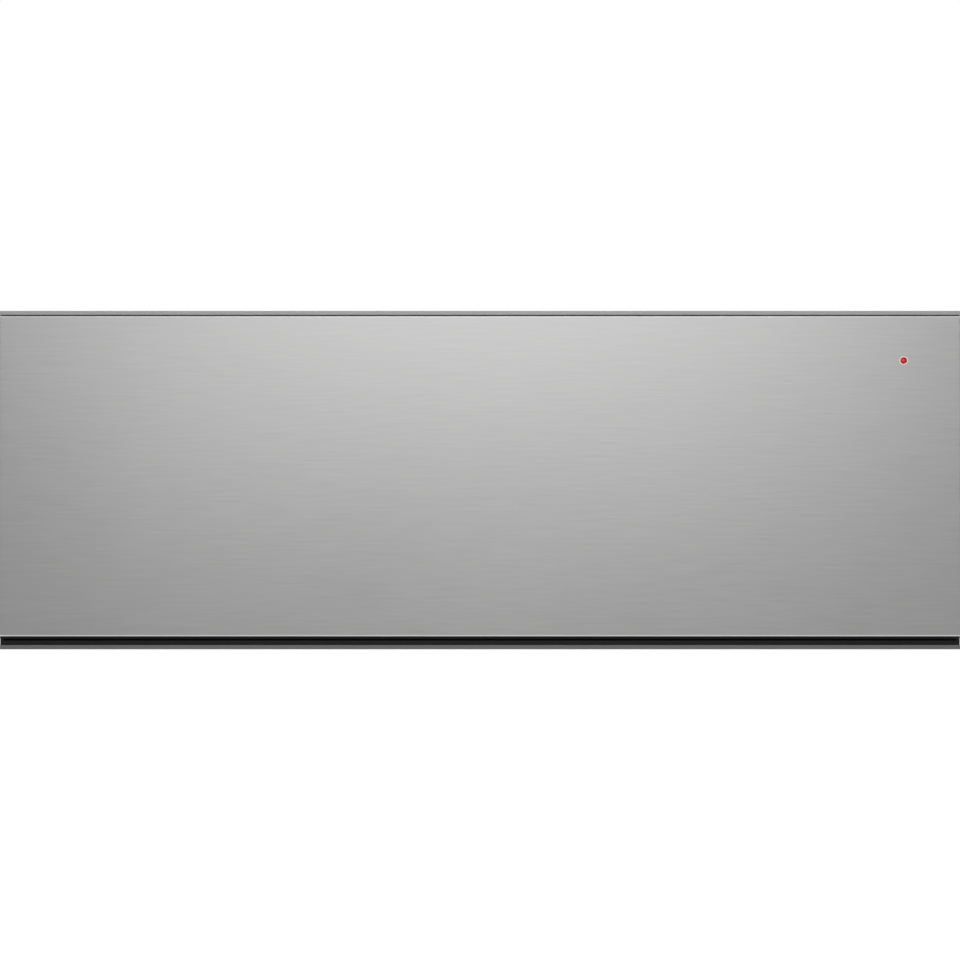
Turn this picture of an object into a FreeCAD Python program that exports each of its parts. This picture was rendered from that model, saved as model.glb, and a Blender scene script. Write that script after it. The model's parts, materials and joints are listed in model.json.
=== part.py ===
import FreeCAD, Part

import math
import os
import re

import Sketcher
from FreeCAD import Placement, Rotation, Vector

# Built-in warming drawer for a 30-inch (762 mm) cabinet. Millimetres, +Z up. The drawer front
# faces -Y, the housing stands on its flat base at z = 0, and the origin is under the middle of
# the whole object. The drawer slides out along -Y on two three-part ball slides. A push on the
# front travels 3 mm inwards and trips the push latches behind the drawer.

doc = FreeCAD.newDocument("warming_drawer")

# ---------------------------------------------------------------- driving dimensions
DIMENSIONS = [
    # the drawer front and the two trims above and below it
    ("front_width", 756.0, "width of the drawer front and of both trims"),
    ("front_height", 252.1, "height of the drawer front"),
    ("front_depth", 22.0, "depth of the folded front"),
    ("front_sheet", 1.0, "stainless sheet of the front"),
    ("front_corner", 1.2, "corner radius of the front seen from ahead"),
    ("front_edge_round", 0.9, "rolled edge between face and returns"),
    ("liner_sheet", 0.8, "inner skin of the front"),
    ("top_trim_height", 3.2, "lip above the front"),
    ("bottom_trim_height", 3.2, "lip below the front"),
    ("upper_gap", 0.8, "gap between front and top trim"),
    ("lower_gap", 6.9, "gap between front and bottom trim"),
    ("trim_setback", 1.5, "trim lips behind the face of the front"),
    ("trim_leg", 1.0, "thickness of the trim legs"),
    ("trim_round", 0.3, "front edges of the trim lips"),
    ("trim_leg_drop", 14.0, "height of the top trim's leg"),
    ("trim_end", 1.5, "turned-down ends of the top trim"),
    ("trim_end_play", 0.2, "front to the turned-down ends above it"),
    ("bottom_leg_rise", 5.3, "height of the bottom trim's leg"),
    ("lower_strip_height", 2.0, "black strip under the front"),
    ("lower_strip_setback", 4.0, "black strip behind the face"),
    ("gap_profile_height", 3.9, "black air inlet profile on the bottom trim"),
    ("gap_profile_setback", 6.0, "air inlet profile behind the face"),
    ("gap_profile_wall", 1.4, "wall of the air inlet profile"),
    ("gap_profile_round", 1.1, "upper front edge of the air inlet profile"),
    ("gap_profile_cap", 3.0, "closed ends of the air inlet profile"),
    ("gap_profile_play", 0.3, "black strip to the profile's ends under it"),
    ("inlet_slot_length", 16.0, "air inlet slot"),
    ("inlet_slot_height", 1.6, "air inlet slot"),
    ("inlet_slot_pitch", 28.0, "air inlet slots, centre to centre"),
    ("inlet_slot_count", 24, "air inlet slots in the row"),
    # push travel
    ("front_stop_gap", 5.0, "closed front to the housing's front flange"),
    ("push_travel", 3.0, "inward travel of the front when it is pushed"),
    ("bumper_clearance", 0.3, "bumper to front at the end of the push"),
    ("bumper_radius", 5.0, "rubber bumper"),
    # housing
    ("housing_depth", 555.0, "front flange to back panel"),
    ("housing_sheet", 1.0, "galvanised sheet of base, sides and back"),
    ("cover_sheet", 0.8, "galvanised sheet of the top cover"),
    ("shield_sheet", 0.8, "heat shield under the cover"),
    ("top_insulation", 12.4, "mineral wool over the heat shield"),
    ("mat_margin", 7.0, "mineral wool to the side panels"),
    ("wing_width", 17.0, "front wings that lie on the cabinet's edges"),
    ("front_overlap", 4.0, "front and trims past the wings"),
    ("fold_height", 14.0, "folded edges that join the panels"),
    ("fold_start", 6.0, "folded edges behind the front flange"),
    ("fold_gap", 1.0, "gap between folded edges that would meet"),
    ("bead_width", 16.0, "stiffening beads of the panels"),
    ("bead_depth", 1.5, "stiffening beads of the panels"),
    ("bead_margin", 60.0, "ends of the beads to the panels' edges"),
    ("bead_low_gap", 32.0, "lower side bead below the slides"),
    ("bead_high_gap", 40.0, "upper side bead above the slides"),
    ("base_bead_front", 200.0, "front bead of base and cover behind the flange"),
    ("base_bead_back", 160.0, "rear bead of base and cover before the back panel"),
    ("cabinet_hole_radius", 2.2, "fixing holes in the wings"),
    ("cabinet_hole_spacing", 132.0, "fixing holes in a wing, centre to centre"),
    ("bumper_inset", 26.0, "bumpers from the top and bottom of the front"),
    # ball slides
    ("rail_back_gap", 50.0, "slides to the back panel"),
    ("rail_height", 45.0, "outer member"),
    ("rail_width", 12.7, "whole slide, side to side"),
    ("rail_sheet", 1.2, "steel of the slide members"),
    ("rail_level", 100.0, "middle of the slides above the base"),
    ("rail_setback", 4.0, "slides behind the front flange"),
    ("ball_diameter", 3.8, "balls of the slides"),
    ("race_depth", 0.3, "ball groove in a slide flange"),
    ("ball_clearance", 0.05, "ball to groove"),
    ("web_gap", 2.4, "outer member's web to middle member's"),
    ("outer_tip_gap", 2.0, "outer member's flanges to the tub"),
    ("middle_tip_gap", 1.2, "middle member's flanges to the tub"),
    ("cage_tip_gap", 0.6, "cage edges behind the flange tips"),
    ("cage_sheet", 0.5, "ball cages"),
    ("cage_length", 240.0, "ball cages"),
    ("ball_pitch", 32.0, "balls along a cage"),
    # drawer tub
    ("tub_sheet", 0.8, "stainless sheet of the tub"),
    ("rear_space", 58.4, "tub to back panel, for fan and latches"),
    ("rim_headroom", 12.0, "tub walls to the heat shield"),
    ("rim_width", 8.0, "turned-out rim of the tub sides"),
    ("floor_level", 28.0, "underside of the tub floor"),
    ("tray_level", 10.5, "underside of the drawer's bottom tray"),
    ("console_depth", 44.0, "control console behind the front"),
    ("cap_sheet", 1.0, "cap of the console"),
    ("cap_play", 0.2, "cap's lip to the inner front wall"),
    ("bracket_sheet", 2.0, "angles between tub and front"),
    ("bracket_width", 20.0, "angles between tub and front"),
    ("bracket_margin", 10.0, "angles above the tub floor"),
    ("bracket_headroom", 40.0, "angles below the rim"),
    ("bracket_screw_inset", 12.0, "bracket screws to the tub wall"),
    ("bracket_screw_margin", 20.0, "bracket screws to the ends of the angles"),
    # glass floor and heater
    ("glass_thickness", 4.0, "toughened glass floor"),
    ("glass_margin", 4.5, "glass to the tub walls"),
    ("glass_corner", 6.0, "corner radius of the glass"),
    ("seal_thickness", 1.2, "silicone bed under the glass"),
    ("seal_width", 9.0, "silicone bed under the edge of the glass"),
    ("seal_edge", 3.5, "silicone rim round the glass"),
    ("seal_drop", 1.0, "silicone rim below the top of the glass"),
    ("heat_plate", 1.5, "aluminium plate under the tub floor"),
    ("heat_plate_margin", 24.0, "aluminium plate to the tub walls"),
    ("element_diameter", 6.5, "sheathed heating element"),
    ("element_pitch", 92.0, "runs of the element, centre to centre"),
    ("element_runs", 4, "runs of the element"),
    ("element_margin", 40.0, "bends of the element to the edge of the heat plate"),
    ("clip_sheet", 0.6, "clips that hold the element to the plate"),
    ("clip_width", 12.0, "clips that hold the element to the plate"),
    ("clip_foot", 8.0, "feet of a clip"),
    ("clip_spread", 180.0, "clips from the middle of a run"),
    ("wool_gap", 0.2, "mineral wool below the clips"),
    ("wool_margin", 2.0, "mineral wool to the walls beside it"),
    ("cutout_radius", 8.0, "thermal cut-out"),
    ("cutout_height", 9.0, "thermal cut-out"),
    # controls
    ("knob_radius", 12.0, "temperature knob"),
    ("knob_height", 8.0, "temperature knob"),
    ("knob_wall", 2.0, "temperature knob"),
    ("knob_ribs", 24, "grip grooves round the knob"),
    ("knob_from_side", 73.0, "knob centre to the side wall of the tub"),
    ("knob_gap", 0.4, "knob above its scale plate"),
    ("shaft_radius", 3.0, "shaft of the rotary switch"),
    ("shaft_clearance", 0.06, "running clearance of turning shafts"),
    ("scale_plate_length", 108.0, "scale plate"),
    ("scale_plate_depth", 38.0, "scale plate"),
    ("scale_plate_thickness", 1.5, "scale plate"),
    ("scale_plate_corner", 3.0, "scale plate"),
    ("neck_radius", 5.4, "threaded neck of the rotary switch"),
    ("switch_size", 34.0, "rotary switch, square"),
    ("switch_height", 26.0, "rotary switch"),
    ("switch_floor", 4.0, "closed end of the switch below its shaft"),
    ("tab_width", 6.3, "push-on terminals of the switch"),
    ("tab_sheet", 0.8, "push-on terminals of the switch"),
    # indicator
    ("lens_radius", 2.45, "red indicator lens"),
    ("lens_proud", 0.6, "lens dome ahead of the face"),
    ("lens_length", 8.0, "lens stem behind the face"),
    ("ring_radius", 3.5, "pale ring round the lens"),
    ("ring_proud", 0.35, "ring ahead of the face"),
    ("ring_sleeve", 0.6, "wall of the ring's sleeve"),
    ("lens_from_side", 44.8, "lens to the side edge of the front"),
    ("lens_from_top", 35.1, "lens to the top edge of the front"),
    ("lead_diameter", 2.6, "two-core lead of the indicator"),
    ("lead_bend", 14.0, "bend of the lead"),
    # fan
    ("fan_radius", 48.0, "fan wheel"),
    ("fan_height", 15.0, "fan blades"),
    ("fan_blades", 24, "blades of the fan wheel"),
    ("blade_sheet", 1.0, "blades and disc of the fan wheel"),
    ("blade_depth", 15.0, "blades from the edge of the disc"),
    ("shroud_radius", 62.0, "fan shroud"),
    ("shroud_depth", 26.0, "fan shroud"),
    ("shroud_sheet", 1.0, "fan shroud"),
    ("shroud_flange", 12.0, "flange of the shroud"),
    ("fan_gap", 3.0, "fan wheel to the back of its shroud"),
    ("motor_radius", 29.0, "fan motor"),
    ("motor_depth", 21.0, "fan motor"),
    ("motor_cap", 2.5, "closed end of the fan motor"),
    ("fan_shaft_radius", 2.5, "shaft of the fan motor"),
    # push latches
    ("latch_spread", 250.0, "latches from the middle"),
    ("latch_level", 180.0, "latches above the base"),
    ("latch_size", 20.0, "latch body, square"),
    ("latch_length", 42.0, "latch body"),
    ("latch_foot", 3.0, "foot plate of a latch"),
    ("plunger_radius", 5.0, "latch plunger"),
    ("plunger_grip", 24.0, "plunger length inside the latch body"),
    ("plunger_clearance", 0.1, "plunger in its bore"),
    ("striker_size", 28.0, "striker plate, square"),
    ("striker_sheet", 1.2, "striker plate"),
    ("striker_gap", 0.1, "plunger tip to striker plate"),
    ("spring_wire", 1.4, "wire of the latch springs"),
    ("spring_turns", 6, "turns of the latch springs"),
    # mains inlet
    ("gland_projection", 12.0, "cable gland behind the back panel"),
    ("gland_bore_radius", 4.5, "cable passage of the gland"),
    ("gland_thread_radius", 8.0, "gland through the back panel"),
    ("gland_from_middle", 220.0, "gland from the middle"),
    ("gland_level", 46.0, "gland above the base"),
    ("gland_inside", 9.0, "gland thread inside the housing"),
    ("nut_thickness", 4.0, "gland nut"),
    ("nut_radius", 12.5, "gland nut, over its corners"),
    ("terminal_width", 46.0, "terminal block"),
    ("terminal_depth", 22.0, "terminal block"),
    ("terminal_height", 18.0, "terminal block"),
    ("terminal_step", 5.0, "raised middle of the terminal block"),
    ("terminal_pitch", 15.0, "poles of the terminal block"),
    ("terminal_gap", 8.0, "terminal block before the gland"),
    # fasteners
    ("screw_radius", 1.75, "shank of the sheet-metal screws"),
    ("screw_length", 6.0, "shank of the sheet-metal screws"),
    ("screw_head_radius", 3.5, "pan head"),
    ("screw_head_height", 2.2, "pan head"),
    ("rivet_radius", 2.0, "shank of the rivets"),
    ("rivet_head_radius", 3.4, "rivet head"),
    ("rivet_head_height", 0.6, "rivet head"),
    ("rivet_margin", 48.0, "first and last rivet from the ends of a slide"),
    ("panel_screw_margin", 40.0, "first and last screw of a panel's long edges"),
    ("back_screw_margin", 30.0, "first and last screw of the back panel"),
    ("trim_rivet_margin", 30.0, "first and last rivet of the top trim"),
    ("hole_clearance", 0.05, "screws and rivets in their holes"),
    # vents
    ("vent_length", 34.0, "vent slots"),
    ("vent_width", 4.0, "vent slots"),
    ("vent_pitch", 10.0, "vent slots, centre to centre"),
    ("vent_count", 14, "vent slots in a field"),
    ("vent_inset", 32.0, "vent fields from the panels' edges"),
    ("back_vent_x", 90.0, "upper vent fields of the back from the middle"),
    ("tub_vent_x", 110.0, "outlet slots of the tub from the middle"),
    ("tub_vent_z", 50.0, "outlet slots of the tub above the base"),
]

# ------------------------------------------------- places that follow from the dimensions
PLACES = [
    # along Y, from the front
    ("total_depth", "lens_proud + front_depth + front_stop_gap + housing_depth + gland_projection"),
    ("face_y", "lens_proud - total_depth / 2"),
    ("front_back_y", "face_y + front_depth"),
    ("flange_y", "front_back_y + front_stop_gap"),
    ("housing_back_y", "flange_y + housing_depth"),
    ("back_inner_y", "housing_back_y - housing_sheet"),
    ("console_back_y", "front_back_y + console_depth"),
    ("tub_front_y", "console_back_y + tub_sheet"),
    ("wall_back_y", "back_inner_y - rear_space"),
    ("tub_back_y", "wall_back_y - tub_sheet"),
    ("tub_middle_y", "(tub_front_y + tub_back_y) / 2"),
    ("rail_front_y", "flange_y + rail_setback"),
    ("rail_back_y", "back_inner_y - rail_back_gap"),
    ("rail_length", "rail_back_y - rail_front_y"),
    ("fold_end_y", "back_inner_y - fold_height - fold_gap"),
    ("base_bead_front_y", "flange_y + base_bead_front"),
    ("base_bead_back_y", "back_inner_y - base_bead_back"),
    ("knob_y", "front_back_y + console_depth / 2"),
    ("striker_y", "wall_back_y + striker_sheet"),
    ("plunger_tip_y", "striker_y + striker_gap"),
    ("latch_front_y", "back_inner_y - latch_length"),
    ("latch_foot_y", "back_inner_y - latch_foot"),
    ("shroud_back_y", "wall_back_y + shroud_depth"),
    ("wheel_back_y", "shroud_back_y - shroud_sheet - fan_gap"),
    ("gland_front_y", "back_inner_y - gland_inside"),
    ("terminal_back_y", "gland_front_y - terminal_gap"),
    # along X, from the middle
    ("wing_edge_x", "front_width / 2 - front_overlap"),
    ("side_outer_x", "wing_edge_x - wing_width"),
    ("side_inner_x", "side_outer_x - housing_sheet"),
    ("wing_hole_x", "side_outer_x + wing_width / 2"),
    ("tub_side_x", "side_inner_x - rail_width"),
    ("tub_inner_x", "tub_side_x - tub_sheet"),
    ("knob_x", "tub_inner_x - knob_from_side"),
    ("lens_x", "front_width / 2 - lens_from_side"),
    ("bead_end_x", "side_inner_x - bead_margin"),
    ("bracket_screw_x", "tub_inner_x - bracket_screw_inset"),
    ("shroud_screw_ring", "shroud_radius + shroud_flange / 2"),
    # along Z, from the base
    ("panel_bottom_z", "bottom_trim_height + lower_gap"),
    ("panel_top_z", "panel_bottom_z + front_height"),
    ("cap_reach_z", "panel_bottom_z - lower_strip_height - gap_profile_play"),
    ("overall_height", "panel_top_z + upper_gap + top_trim_height"),
    ("housing_height", "panel_top_z"),
    ("cover_under_z", "housing_height - cover_sheet"),
    ("shield_top_z", "cover_under_z - top_insulation"),
    ("opening_top_z", "shield_top_z - shield_sheet"),
    ("rim_level", "opening_top_z - rim_headroom"),
    ("lens_z", "panel_top_z - lens_from_top"),
    ("tray_top_z", "tray_level + tub_sheet"),
    ("floor_top_z", "floor_level + tub_sheet"),
    ("fan_level", "(floor_top_z + rim_level) / 2"),
    ("glass_under_z", "floor_top_z + seal_thickness"),
    ("glass_top_z", "glass_under_z + glass_thickness"),
    ("heat_plate_z", "floor_level - heat_plate"),
    ("element_z", "heat_plate_z - element_diameter / 2"),
    ("wool_top_z", "heat_plate_z - element_diameter - clip_sheet - wool_gap"),
    ("cap_top_z", "rim_level + cap_sheet"),
    ("scale_top_z", "cap_top_z + scale_plate_thickness"),
    ("knob_under_z", "scale_top_z + knob_gap"),
    ("knob_top_z", "knob_under_z + knob_height"),
    ("bumper_low_z", "panel_bottom_z + bumper_inset"),
    ("bumper_high_z", "panel_top_z - bumper_inset"),
    ("wing_hole_low_z", "(panel_bottom_z + panel_top_z - cabinet_hole_spacing) / 2"),
    ("bead_low_z", "rail_level - rail_height / 2 - bead_low_gap"),
    ("bead_high_z", "rail_level + rail_height / 2 + bead_high_gap"),
    ("bracket_low_z", "floor_level + bracket_margin"),
    ("bracket_high_z", "rim_level - bracket_headroom"),
    ("trim_rivet_z", "opening_top_z + trim_leg_drop / 2"),
    ("element_first_y", "tub_middle_y - element_pitch * (element_runs - 1) / 2"),
    # ball slide section, right-hand side, heights counted from rail_level
    ("ball_radius", "ball_diameter / 2"),
    ("race_radius", "ball_radius + ball_clearance"),
    ("race_gap", "2 * (race_radius - race_depth)"),
    ("outer_half", "rail_height / 2"),
    ("outer_ball", "outer_half - rail_sheet - race_gap / 2"),
    ("middle_half", "outer_half - rail_sheet - race_gap"),
    ("inner_ball", "middle_half - rail_sheet - race_gap / 2"),
    ("inner_half", "middle_half - rail_sheet - race_gap"),
    ("middle_web_x", "side_inner_x - rail_sheet - web_gap"),
    ("outer_tip_x", "tub_side_x + outer_tip_gap"),
    ("middle_tip_x", "tub_side_x + middle_tip_gap"),
    ("inner_tip_x", "middle_web_x - rail_sheet - 2 * cage_sheet"),
    ("outer_ball_x", "(outer_tip_x + middle_web_x) / 2"),
    ("inner_ball_x", "(middle_tip_x + inner_tip_x) / 2"),
    ("cage_front_y", "rail_front_y + (rail_length - cage_length) / 2"),
]

dims = doc.addObject("Spreadsheet::Sheet", "dims")
for row, (alias, number, use) in enumerate(DIMENSIONS, start=1):
    dims.set(f"A{row}", use)
    dims.set(f"B{row}", str(number))
    dims.setAlias(f"B{row}", alias)

DIMENSION_NAMES = {alias for alias, number, use in DIMENSIONS}
PLACE_NAMES = {alias for alias, formula in PLACES}


def bound(text):
    """An expression in which every name of the two sheets is written with its sheet."""

    def with_sheet(match):
        word = match.group()
        if word in DIMENSION_NAMES:
            return "dims." + word
        return "places." + word if word in PLACE_NAMES else word

    return re.sub(r"[a-z_]+", with_sheet, str(text))


places = doc.addObject("Spreadsheet::Sheet", "places")
for row, (alias, formula) in enumerate(PLACES, start=1):
    places.set(f"A{row}", alias)
    places.set(f"B{row}", "=" + bound(formula).replace("places.", ""))
    places.setAlias(f"B{row}", alias)
doc.recompute()


def value(text):
    """The number that an expression has now."""
    return float(places.evalExpression(bound(text)))


def bind(thing, path, text):
    """Ties one property to the sheets."""
    thing.setExpression(path, bound(text))


# ------------------------------------------------------------------ sketches and features
def new_body(label):
    body = doc.addObject("PartDesign::Body", label)
    body.Label = label
    return body


def origin_item(body, role):
    return next(item for item in body.Origin.OriginFeatures if item.Role == role)


def new_sketch(body, plane, level="0", centre=("0", "0")):
    """A sketch on an origin plane of the body, at a level along the axis square to the plane.

    Its own origin is moved to centre, in the plane's two axes.
    """
    sketch = body.newObject("Sketcher::SketchObject", body.Name + "_sketch")
    sketch.AttachmentSupport = [(origin_item(body, plane + "_Plane"), "")]
    sketch.MapMode = "FlatFace"
    bind(sketch, "AttachmentOffset.Base.x", centre[0])
    bind(sketch, "AttachmentOffset.Base.y", centre[1])
    bind(sketch, "AttachmentOffset.Base.z", f"-({level})" if plane == "XZ" else level)
    return sketch


def hold(sketch, geometry, point, u, v):
    """Holds a point of the sketch at (u, v) from the sketch's origin."""
    for kind, text in (("DistanceX", u), ("DistanceY", v)):
        index = sketch.addConstraint(
            Sketcher.Constraint(kind, -1, 1, geometry, point, value(text))
        )
        bind(sketch, f"Constraints[{index}]", text)


def polygon(sketch, corners):
    """A closed outline through corners, each an expression pair."""
    numbers = [Vector(value(u), value(v), 0) for u, v in corners]
    lines = [
        sketch.addGeometry(Part.LineSegment(start, end))
        for start, end in zip(numbers, numbers[1:] + numbers[:1])
    ]
    for line, following in zip(lines, lines[1:] + lines[:1]):
        sketch.addConstraint(Sketcher.Constraint("Coincident", line, 2, following, 1))
    for line, (u, v) in zip(lines, corners):
        hold(sketch, line, 1, u, v)


def rectangle(sketch, u, v):
    """A rectangle between the two expressions of u and the two of v."""
    polygon(sketch, [(u[0], v[0]), (u[1], v[0]), (u[1], v[1]), (u[0], v[1])])


def circle(sketch, u, v, radius):
    index = sketch.addGeometry(
        Part.Circle(Vector(value(u), value(v), 0), Vector(0, 0, 1), value(radius))
    )
    hold(sketch, index, 3, u, v)
    size = sketch.addConstraint(Sketcher.Constraint("Radius", index, value(radius)))
    bind(sketch, f"Constraints[{size}]", radius)


def stadium(sketch, start, end, width):
    """A slot with round ends about the two centres start and end, upright or level."""
    u0, v0, u1, v1 = value(start[0]), value(start[1]), value(end[0]), value(end[1])
    radius = value(width) / 2
    along = math.atan2(v1 - v0, u1 - u0)
    side = Vector(-math.sin(along), math.cos(along), 0) * radius
    first, last = Vector(u0, v0, 0), Vector(u1, v1, 0)
    normal = Vector(0, 0, 1)
    quarter = math.pi / 2
    cap_0 = sketch.addGeometry(
        Part.ArcOfCircle(Part.Circle(first, normal, radius), along + quarter, along + 3 * quarter)
    )
    cap_1 = sketch.addGeometry(
        Part.ArcOfCircle(Part.Circle(last, normal, radius), along - quarter, along + quarter)
    )
    low = sketch.addGeometry(Part.LineSegment(first - side, last - side))
    high = sketch.addGeometry(Part.LineSegment(last + side, first + side))
    for cap, point, line, end_point in (
        (cap_0, 2, low, 1),
        (cap_1, 1, low, 2),
        (cap_1, 2, high, 1),
        (cap_0, 1, high, 2),
    ):
        sketch.addConstraint(Sketcher.Constraint("Tangent", cap, point, line, end_point))
    hold(sketch, cap_0, 3, *start)
    hold(sketch, cap_1, 3, *end)
    size = sketch.addConstraint(Sketcher.Constraint("Radius", cap_0, radius))
    bind(sketch, f"Constraints[{size}]", f"({width}) / 2")


def pad(body, sketch, length, towards=1):
    """Adds material from the sketch, towards + or - of the axis square to it, or 0 for both."""
    feature = body.newObject("PartDesign::Pad", body.Name + "_pad")
    feature.Profile = sketch
    bind(feature, "Length", length)
    if towards == 0:
        feature.SideType = "Symmetric"
    upside = sketch.AttachmentSupport[0][0].Role == "XZ_Plane"
    feature.Reversed = towards != 0 and (towards > 0) == upside
    return feature


def pocket(body, sketch, length, towards=1):
    """Takes material away from the sketch, towards + or - of the axis square to it."""
    feature = body.newObject("PartDesign::Pocket", body.Name + "_pocket")
    feature.Profile = sketch
    bind(feature, "Length", length)
    upside = sketch.AttachmentSupport[0][0].Role == "XZ_Plane"
    feature.Reversed = (towards > 0) != upside
    return feature


def pocket_through(body, sketch):
    feature = body.newObject("PartDesign::Pocket", body.Name + "_through")
    feature.Profile = sketch
    feature.Type = "ThroughAll"
    feature.SideType = "Symmetric"
    return feature


def linear_pattern(body, feature, axis, pitch, count):
    """Repeats a feature count times along an origin axis of the body."""
    pattern = body.newObject("PartDesign::LinearPattern", body.Name + "_row")
    pattern.Originals = [feature]
    pattern.Direction = (origin_item(body, axis + "_Axis"), [""])
    bind(pattern, "Length", f"({pitch}) * ({count} - 1)")
    bind(pattern, "Occurrences", count)
    body.Tip = pattern
    return pattern


def polar_pattern(body, feature, sketch, count):
    """Repeats a feature count times round the axis through the sketch's origin."""
    pattern = body.newObject("PartDesign::PolarPattern", body.Name + "_ring")
    pattern.Originals = [feature]
    pattern.Axis = (sketch, ["N_Axis"])
    pattern.Angle = 360
    bind(pattern, "Occurrences", count)
    body.Tip = pattern
    return pattern


def fillet(body, radius, wanted):
    """Rounds those edges of the body's last feature for which wanted(edge) is true."""
    doc.recompute()
    base = body.Tip
    names = [f"Edge{n}" for n, edge in enumerate(base.Shape.Edges, start=1) if wanted(edge)]
    feature = body.newObject("PartDesign::Fillet", body.Name + "_round")
    feature.Base = (base, names)
    bind(feature, "Radius", radius)
    return feature


def runs_along(edge, direction):
    """True for a straight edge that runs along the direction."""
    if not isinstance(edge.Curve, Part.Line):
        return False
    return edge.tangentAt(edge.FirstParameter).cross(direction).Length < 1e-6


def turned(label, axis, centre, profile):
    """A turned body: profile is a list of (place along the axis, radius) expression pairs.

    centre is where the axis crosses the other two world axes, in their order.
    """
    body = new_body(label)
    if axis == "Y":
        sketch = new_sketch(body, "YZ", level=centre[0], centre=("0", centre[1]))
        polygon(sketch, profile)
        line = "H_Axis"
    else:
        sketch = new_sketch(body, "XZ", level=centre[1], centre=(centre[0], "0"))
        polygon(sketch, [(radius, along) for along, radius in profile])
        line = "V_Axis"
    feature = body.newObject("PartDesign::Revolution", label + "_turn")
    feature.Profile = sketch
    feature.ReferenceAxis = (sketch, [line])
    feature.Angle = 360
    return body


# --------------------------------------------------------------------- plain solids
def block(label, x, y, z):
    """A Part box between three pairs of expressions."""
    box = doc.addObject("Part::Box", label)
    box.Label = label
    for path, (low, high) in (("Length", x), ("Width", y), ("Height", z)):
        bind(box, path, f"({high}) - ({low})")
    for path, (low, high) in (("x", x), ("y", y), ("z", z)):
        bind(box, f"Placement.Base.{path}", low)
    return box


TURNS = {"X": Rotation(Vector(0, 1, 0), 90), "Y": Rotation(Vector(1, 0, 0), -90), "Z": Rotation()}


def rod(label, axis, radius, start, end, centre):
    """A Part cylinder along a world axis; centre gives the other two coordinates in order."""
    cylinder = doc.addObject("Part::Cylinder", label)
    cylinder.Label = label
    cylinder.Placement = Placement(Vector(), TURNS[axis])
    bind(cylinder, "Radius", radius)
    bind(cylinder, "Height", f"({end}) - ({start})")
    others = iter(centre)
    for letter in "XYZ":
        bind(
            cylinder,
            f"Placement.Base.{letter.lower()}",
            start if letter == axis else next(others),
        )
    return cylinder


def fuse(label, shapes):
    union = doc.addObject("Part::MultiFuse", label)
    union.Label = label
    union.Shapes = shapes
    union.Refine = True
    return union


def cut(label, base, tools):
    """Base less every tool. The tools don't meet each other."""
    tool = tools[0]
    if len(tools) > 1:
        tool = doc.addObject("Part::Compound", label + "_tools")
        tool.Links = tools
    result = doc.addObject("Part::Cut", label)
    result.Label = label
    result.Base = base
    result.Tool = tool
    return result


def mirrored(label, source):
    """The left-hand twin of a right-hand sub-part."""
    twin = doc.addObject("Part::Mirroring", label)
    twin.Label = label
    twin.Source = source
    twin.Normal = Vector(1, 0, 0)
    return twin


def group(label, members):
    """Separate solids that share one node."""
    compound = doc.addObject("Part::Compound", label)
    compound.Label = label
    compound.Links = members
    return compound


def both_sides(label, right):
    """A right-hand piece and its mirror image as one node."""
    return group(label, [right, mirrored(label + "_left", right)])


def placed_copies(label, master, spots):
    """Copies of a master fastener at (x, y, z, rotation) spots as one node of separate solids."""
    doc.recompute()
    copies = []
    for x, y, z, turn in spots:
        copy = master.Shape.copy()
        copy.Placement = Placement(Vector(x, y, z), turn)
        copies.append(copy)
    feature = doc.addObject("Part::Feature", label)
    feature.Label = label
    feature.Shape = Part.makeCompound(copies)
    return feature


# --------------------------------------------------------------- where the fasteners sit
def along(start, end, count, margin):
    """Count expressions, evenly spaced from start to end less a margin at each end."""
    return [
        f"({start}) + ({margin}) + ({n}) * (({end}) - ({start}) - 2 * ({margin})) / {count - 1}"
        for n in range(count)
    ]


PANEL_SCREW_Y = along("flange_y", "back_inner_y - fold_height", 4, "panel_screw_margin")
BACK_SCREW_Z = along("fold_height", "cover_under_z - fold_height", 3, "back_screw_margin")
COVER_SCREW_Z = "cover_under_z - fold_height / 2"
BASE_SCREW_Z = "housing_sheet + fold_height / 2"
BACK_SCREW_Y = "back_inner_y - fold_height / 2"
RAIL_RIVET_Y = along("rail_front_y", "rail_back_y", 3, "rivet_margin")
TRIM_RIVET_X = along("0 - side_inner_x", "side_inner_x", 5, "trim_rivet_margin")
SHROUD_SCREWS = [
    (f"shroud_screw_ring * {math.cos(turn):.6f}", f"shroud_screw_ring * {math.sin(turn):.6f}")
    for turn in (math.radians(quarter * 90 + 45) for quarter in range(4))
]
GRILLE_RINGS = (
    ("fan_radius * 0.25", "fan_radius * 0.42", 12),
    ("fan_radius * 0.57", "fan_radius * 0.87", 24),
)
LATCH_SCREW_X = ("latch_spread - latch_size", "latch_spread + latch_size")
SCREW_HOLE = "screw_radius + hole_clearance"
RIVET_HOLE = "rivet_radius + hole_clearance"


# ------------------------------------------------------------------------- the housing
def inlet_slots(body, y, wall):
    """A row of air inlet slots through an upright at y, behind the black profile."""
    slot = new_sketch(body, "XZ", y)
    first = "0 - inlet_slot_pitch * (inlet_slot_count - 1) / 2"
    level = "bottom_trim_height + gap_profile_height / 2"
    half = "(inlet_slot_length - inlet_slot_height) / 2"
    stadium(slot, (f"{first} - {half}", level), (f"{first} + {half}", level), "inlet_slot_height")
    inlets = pocket(body, slot, wall, 1)
    linear_pattern(body, inlets, "X", "inlet_slot_pitch", "inlet_slot_count")


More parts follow.
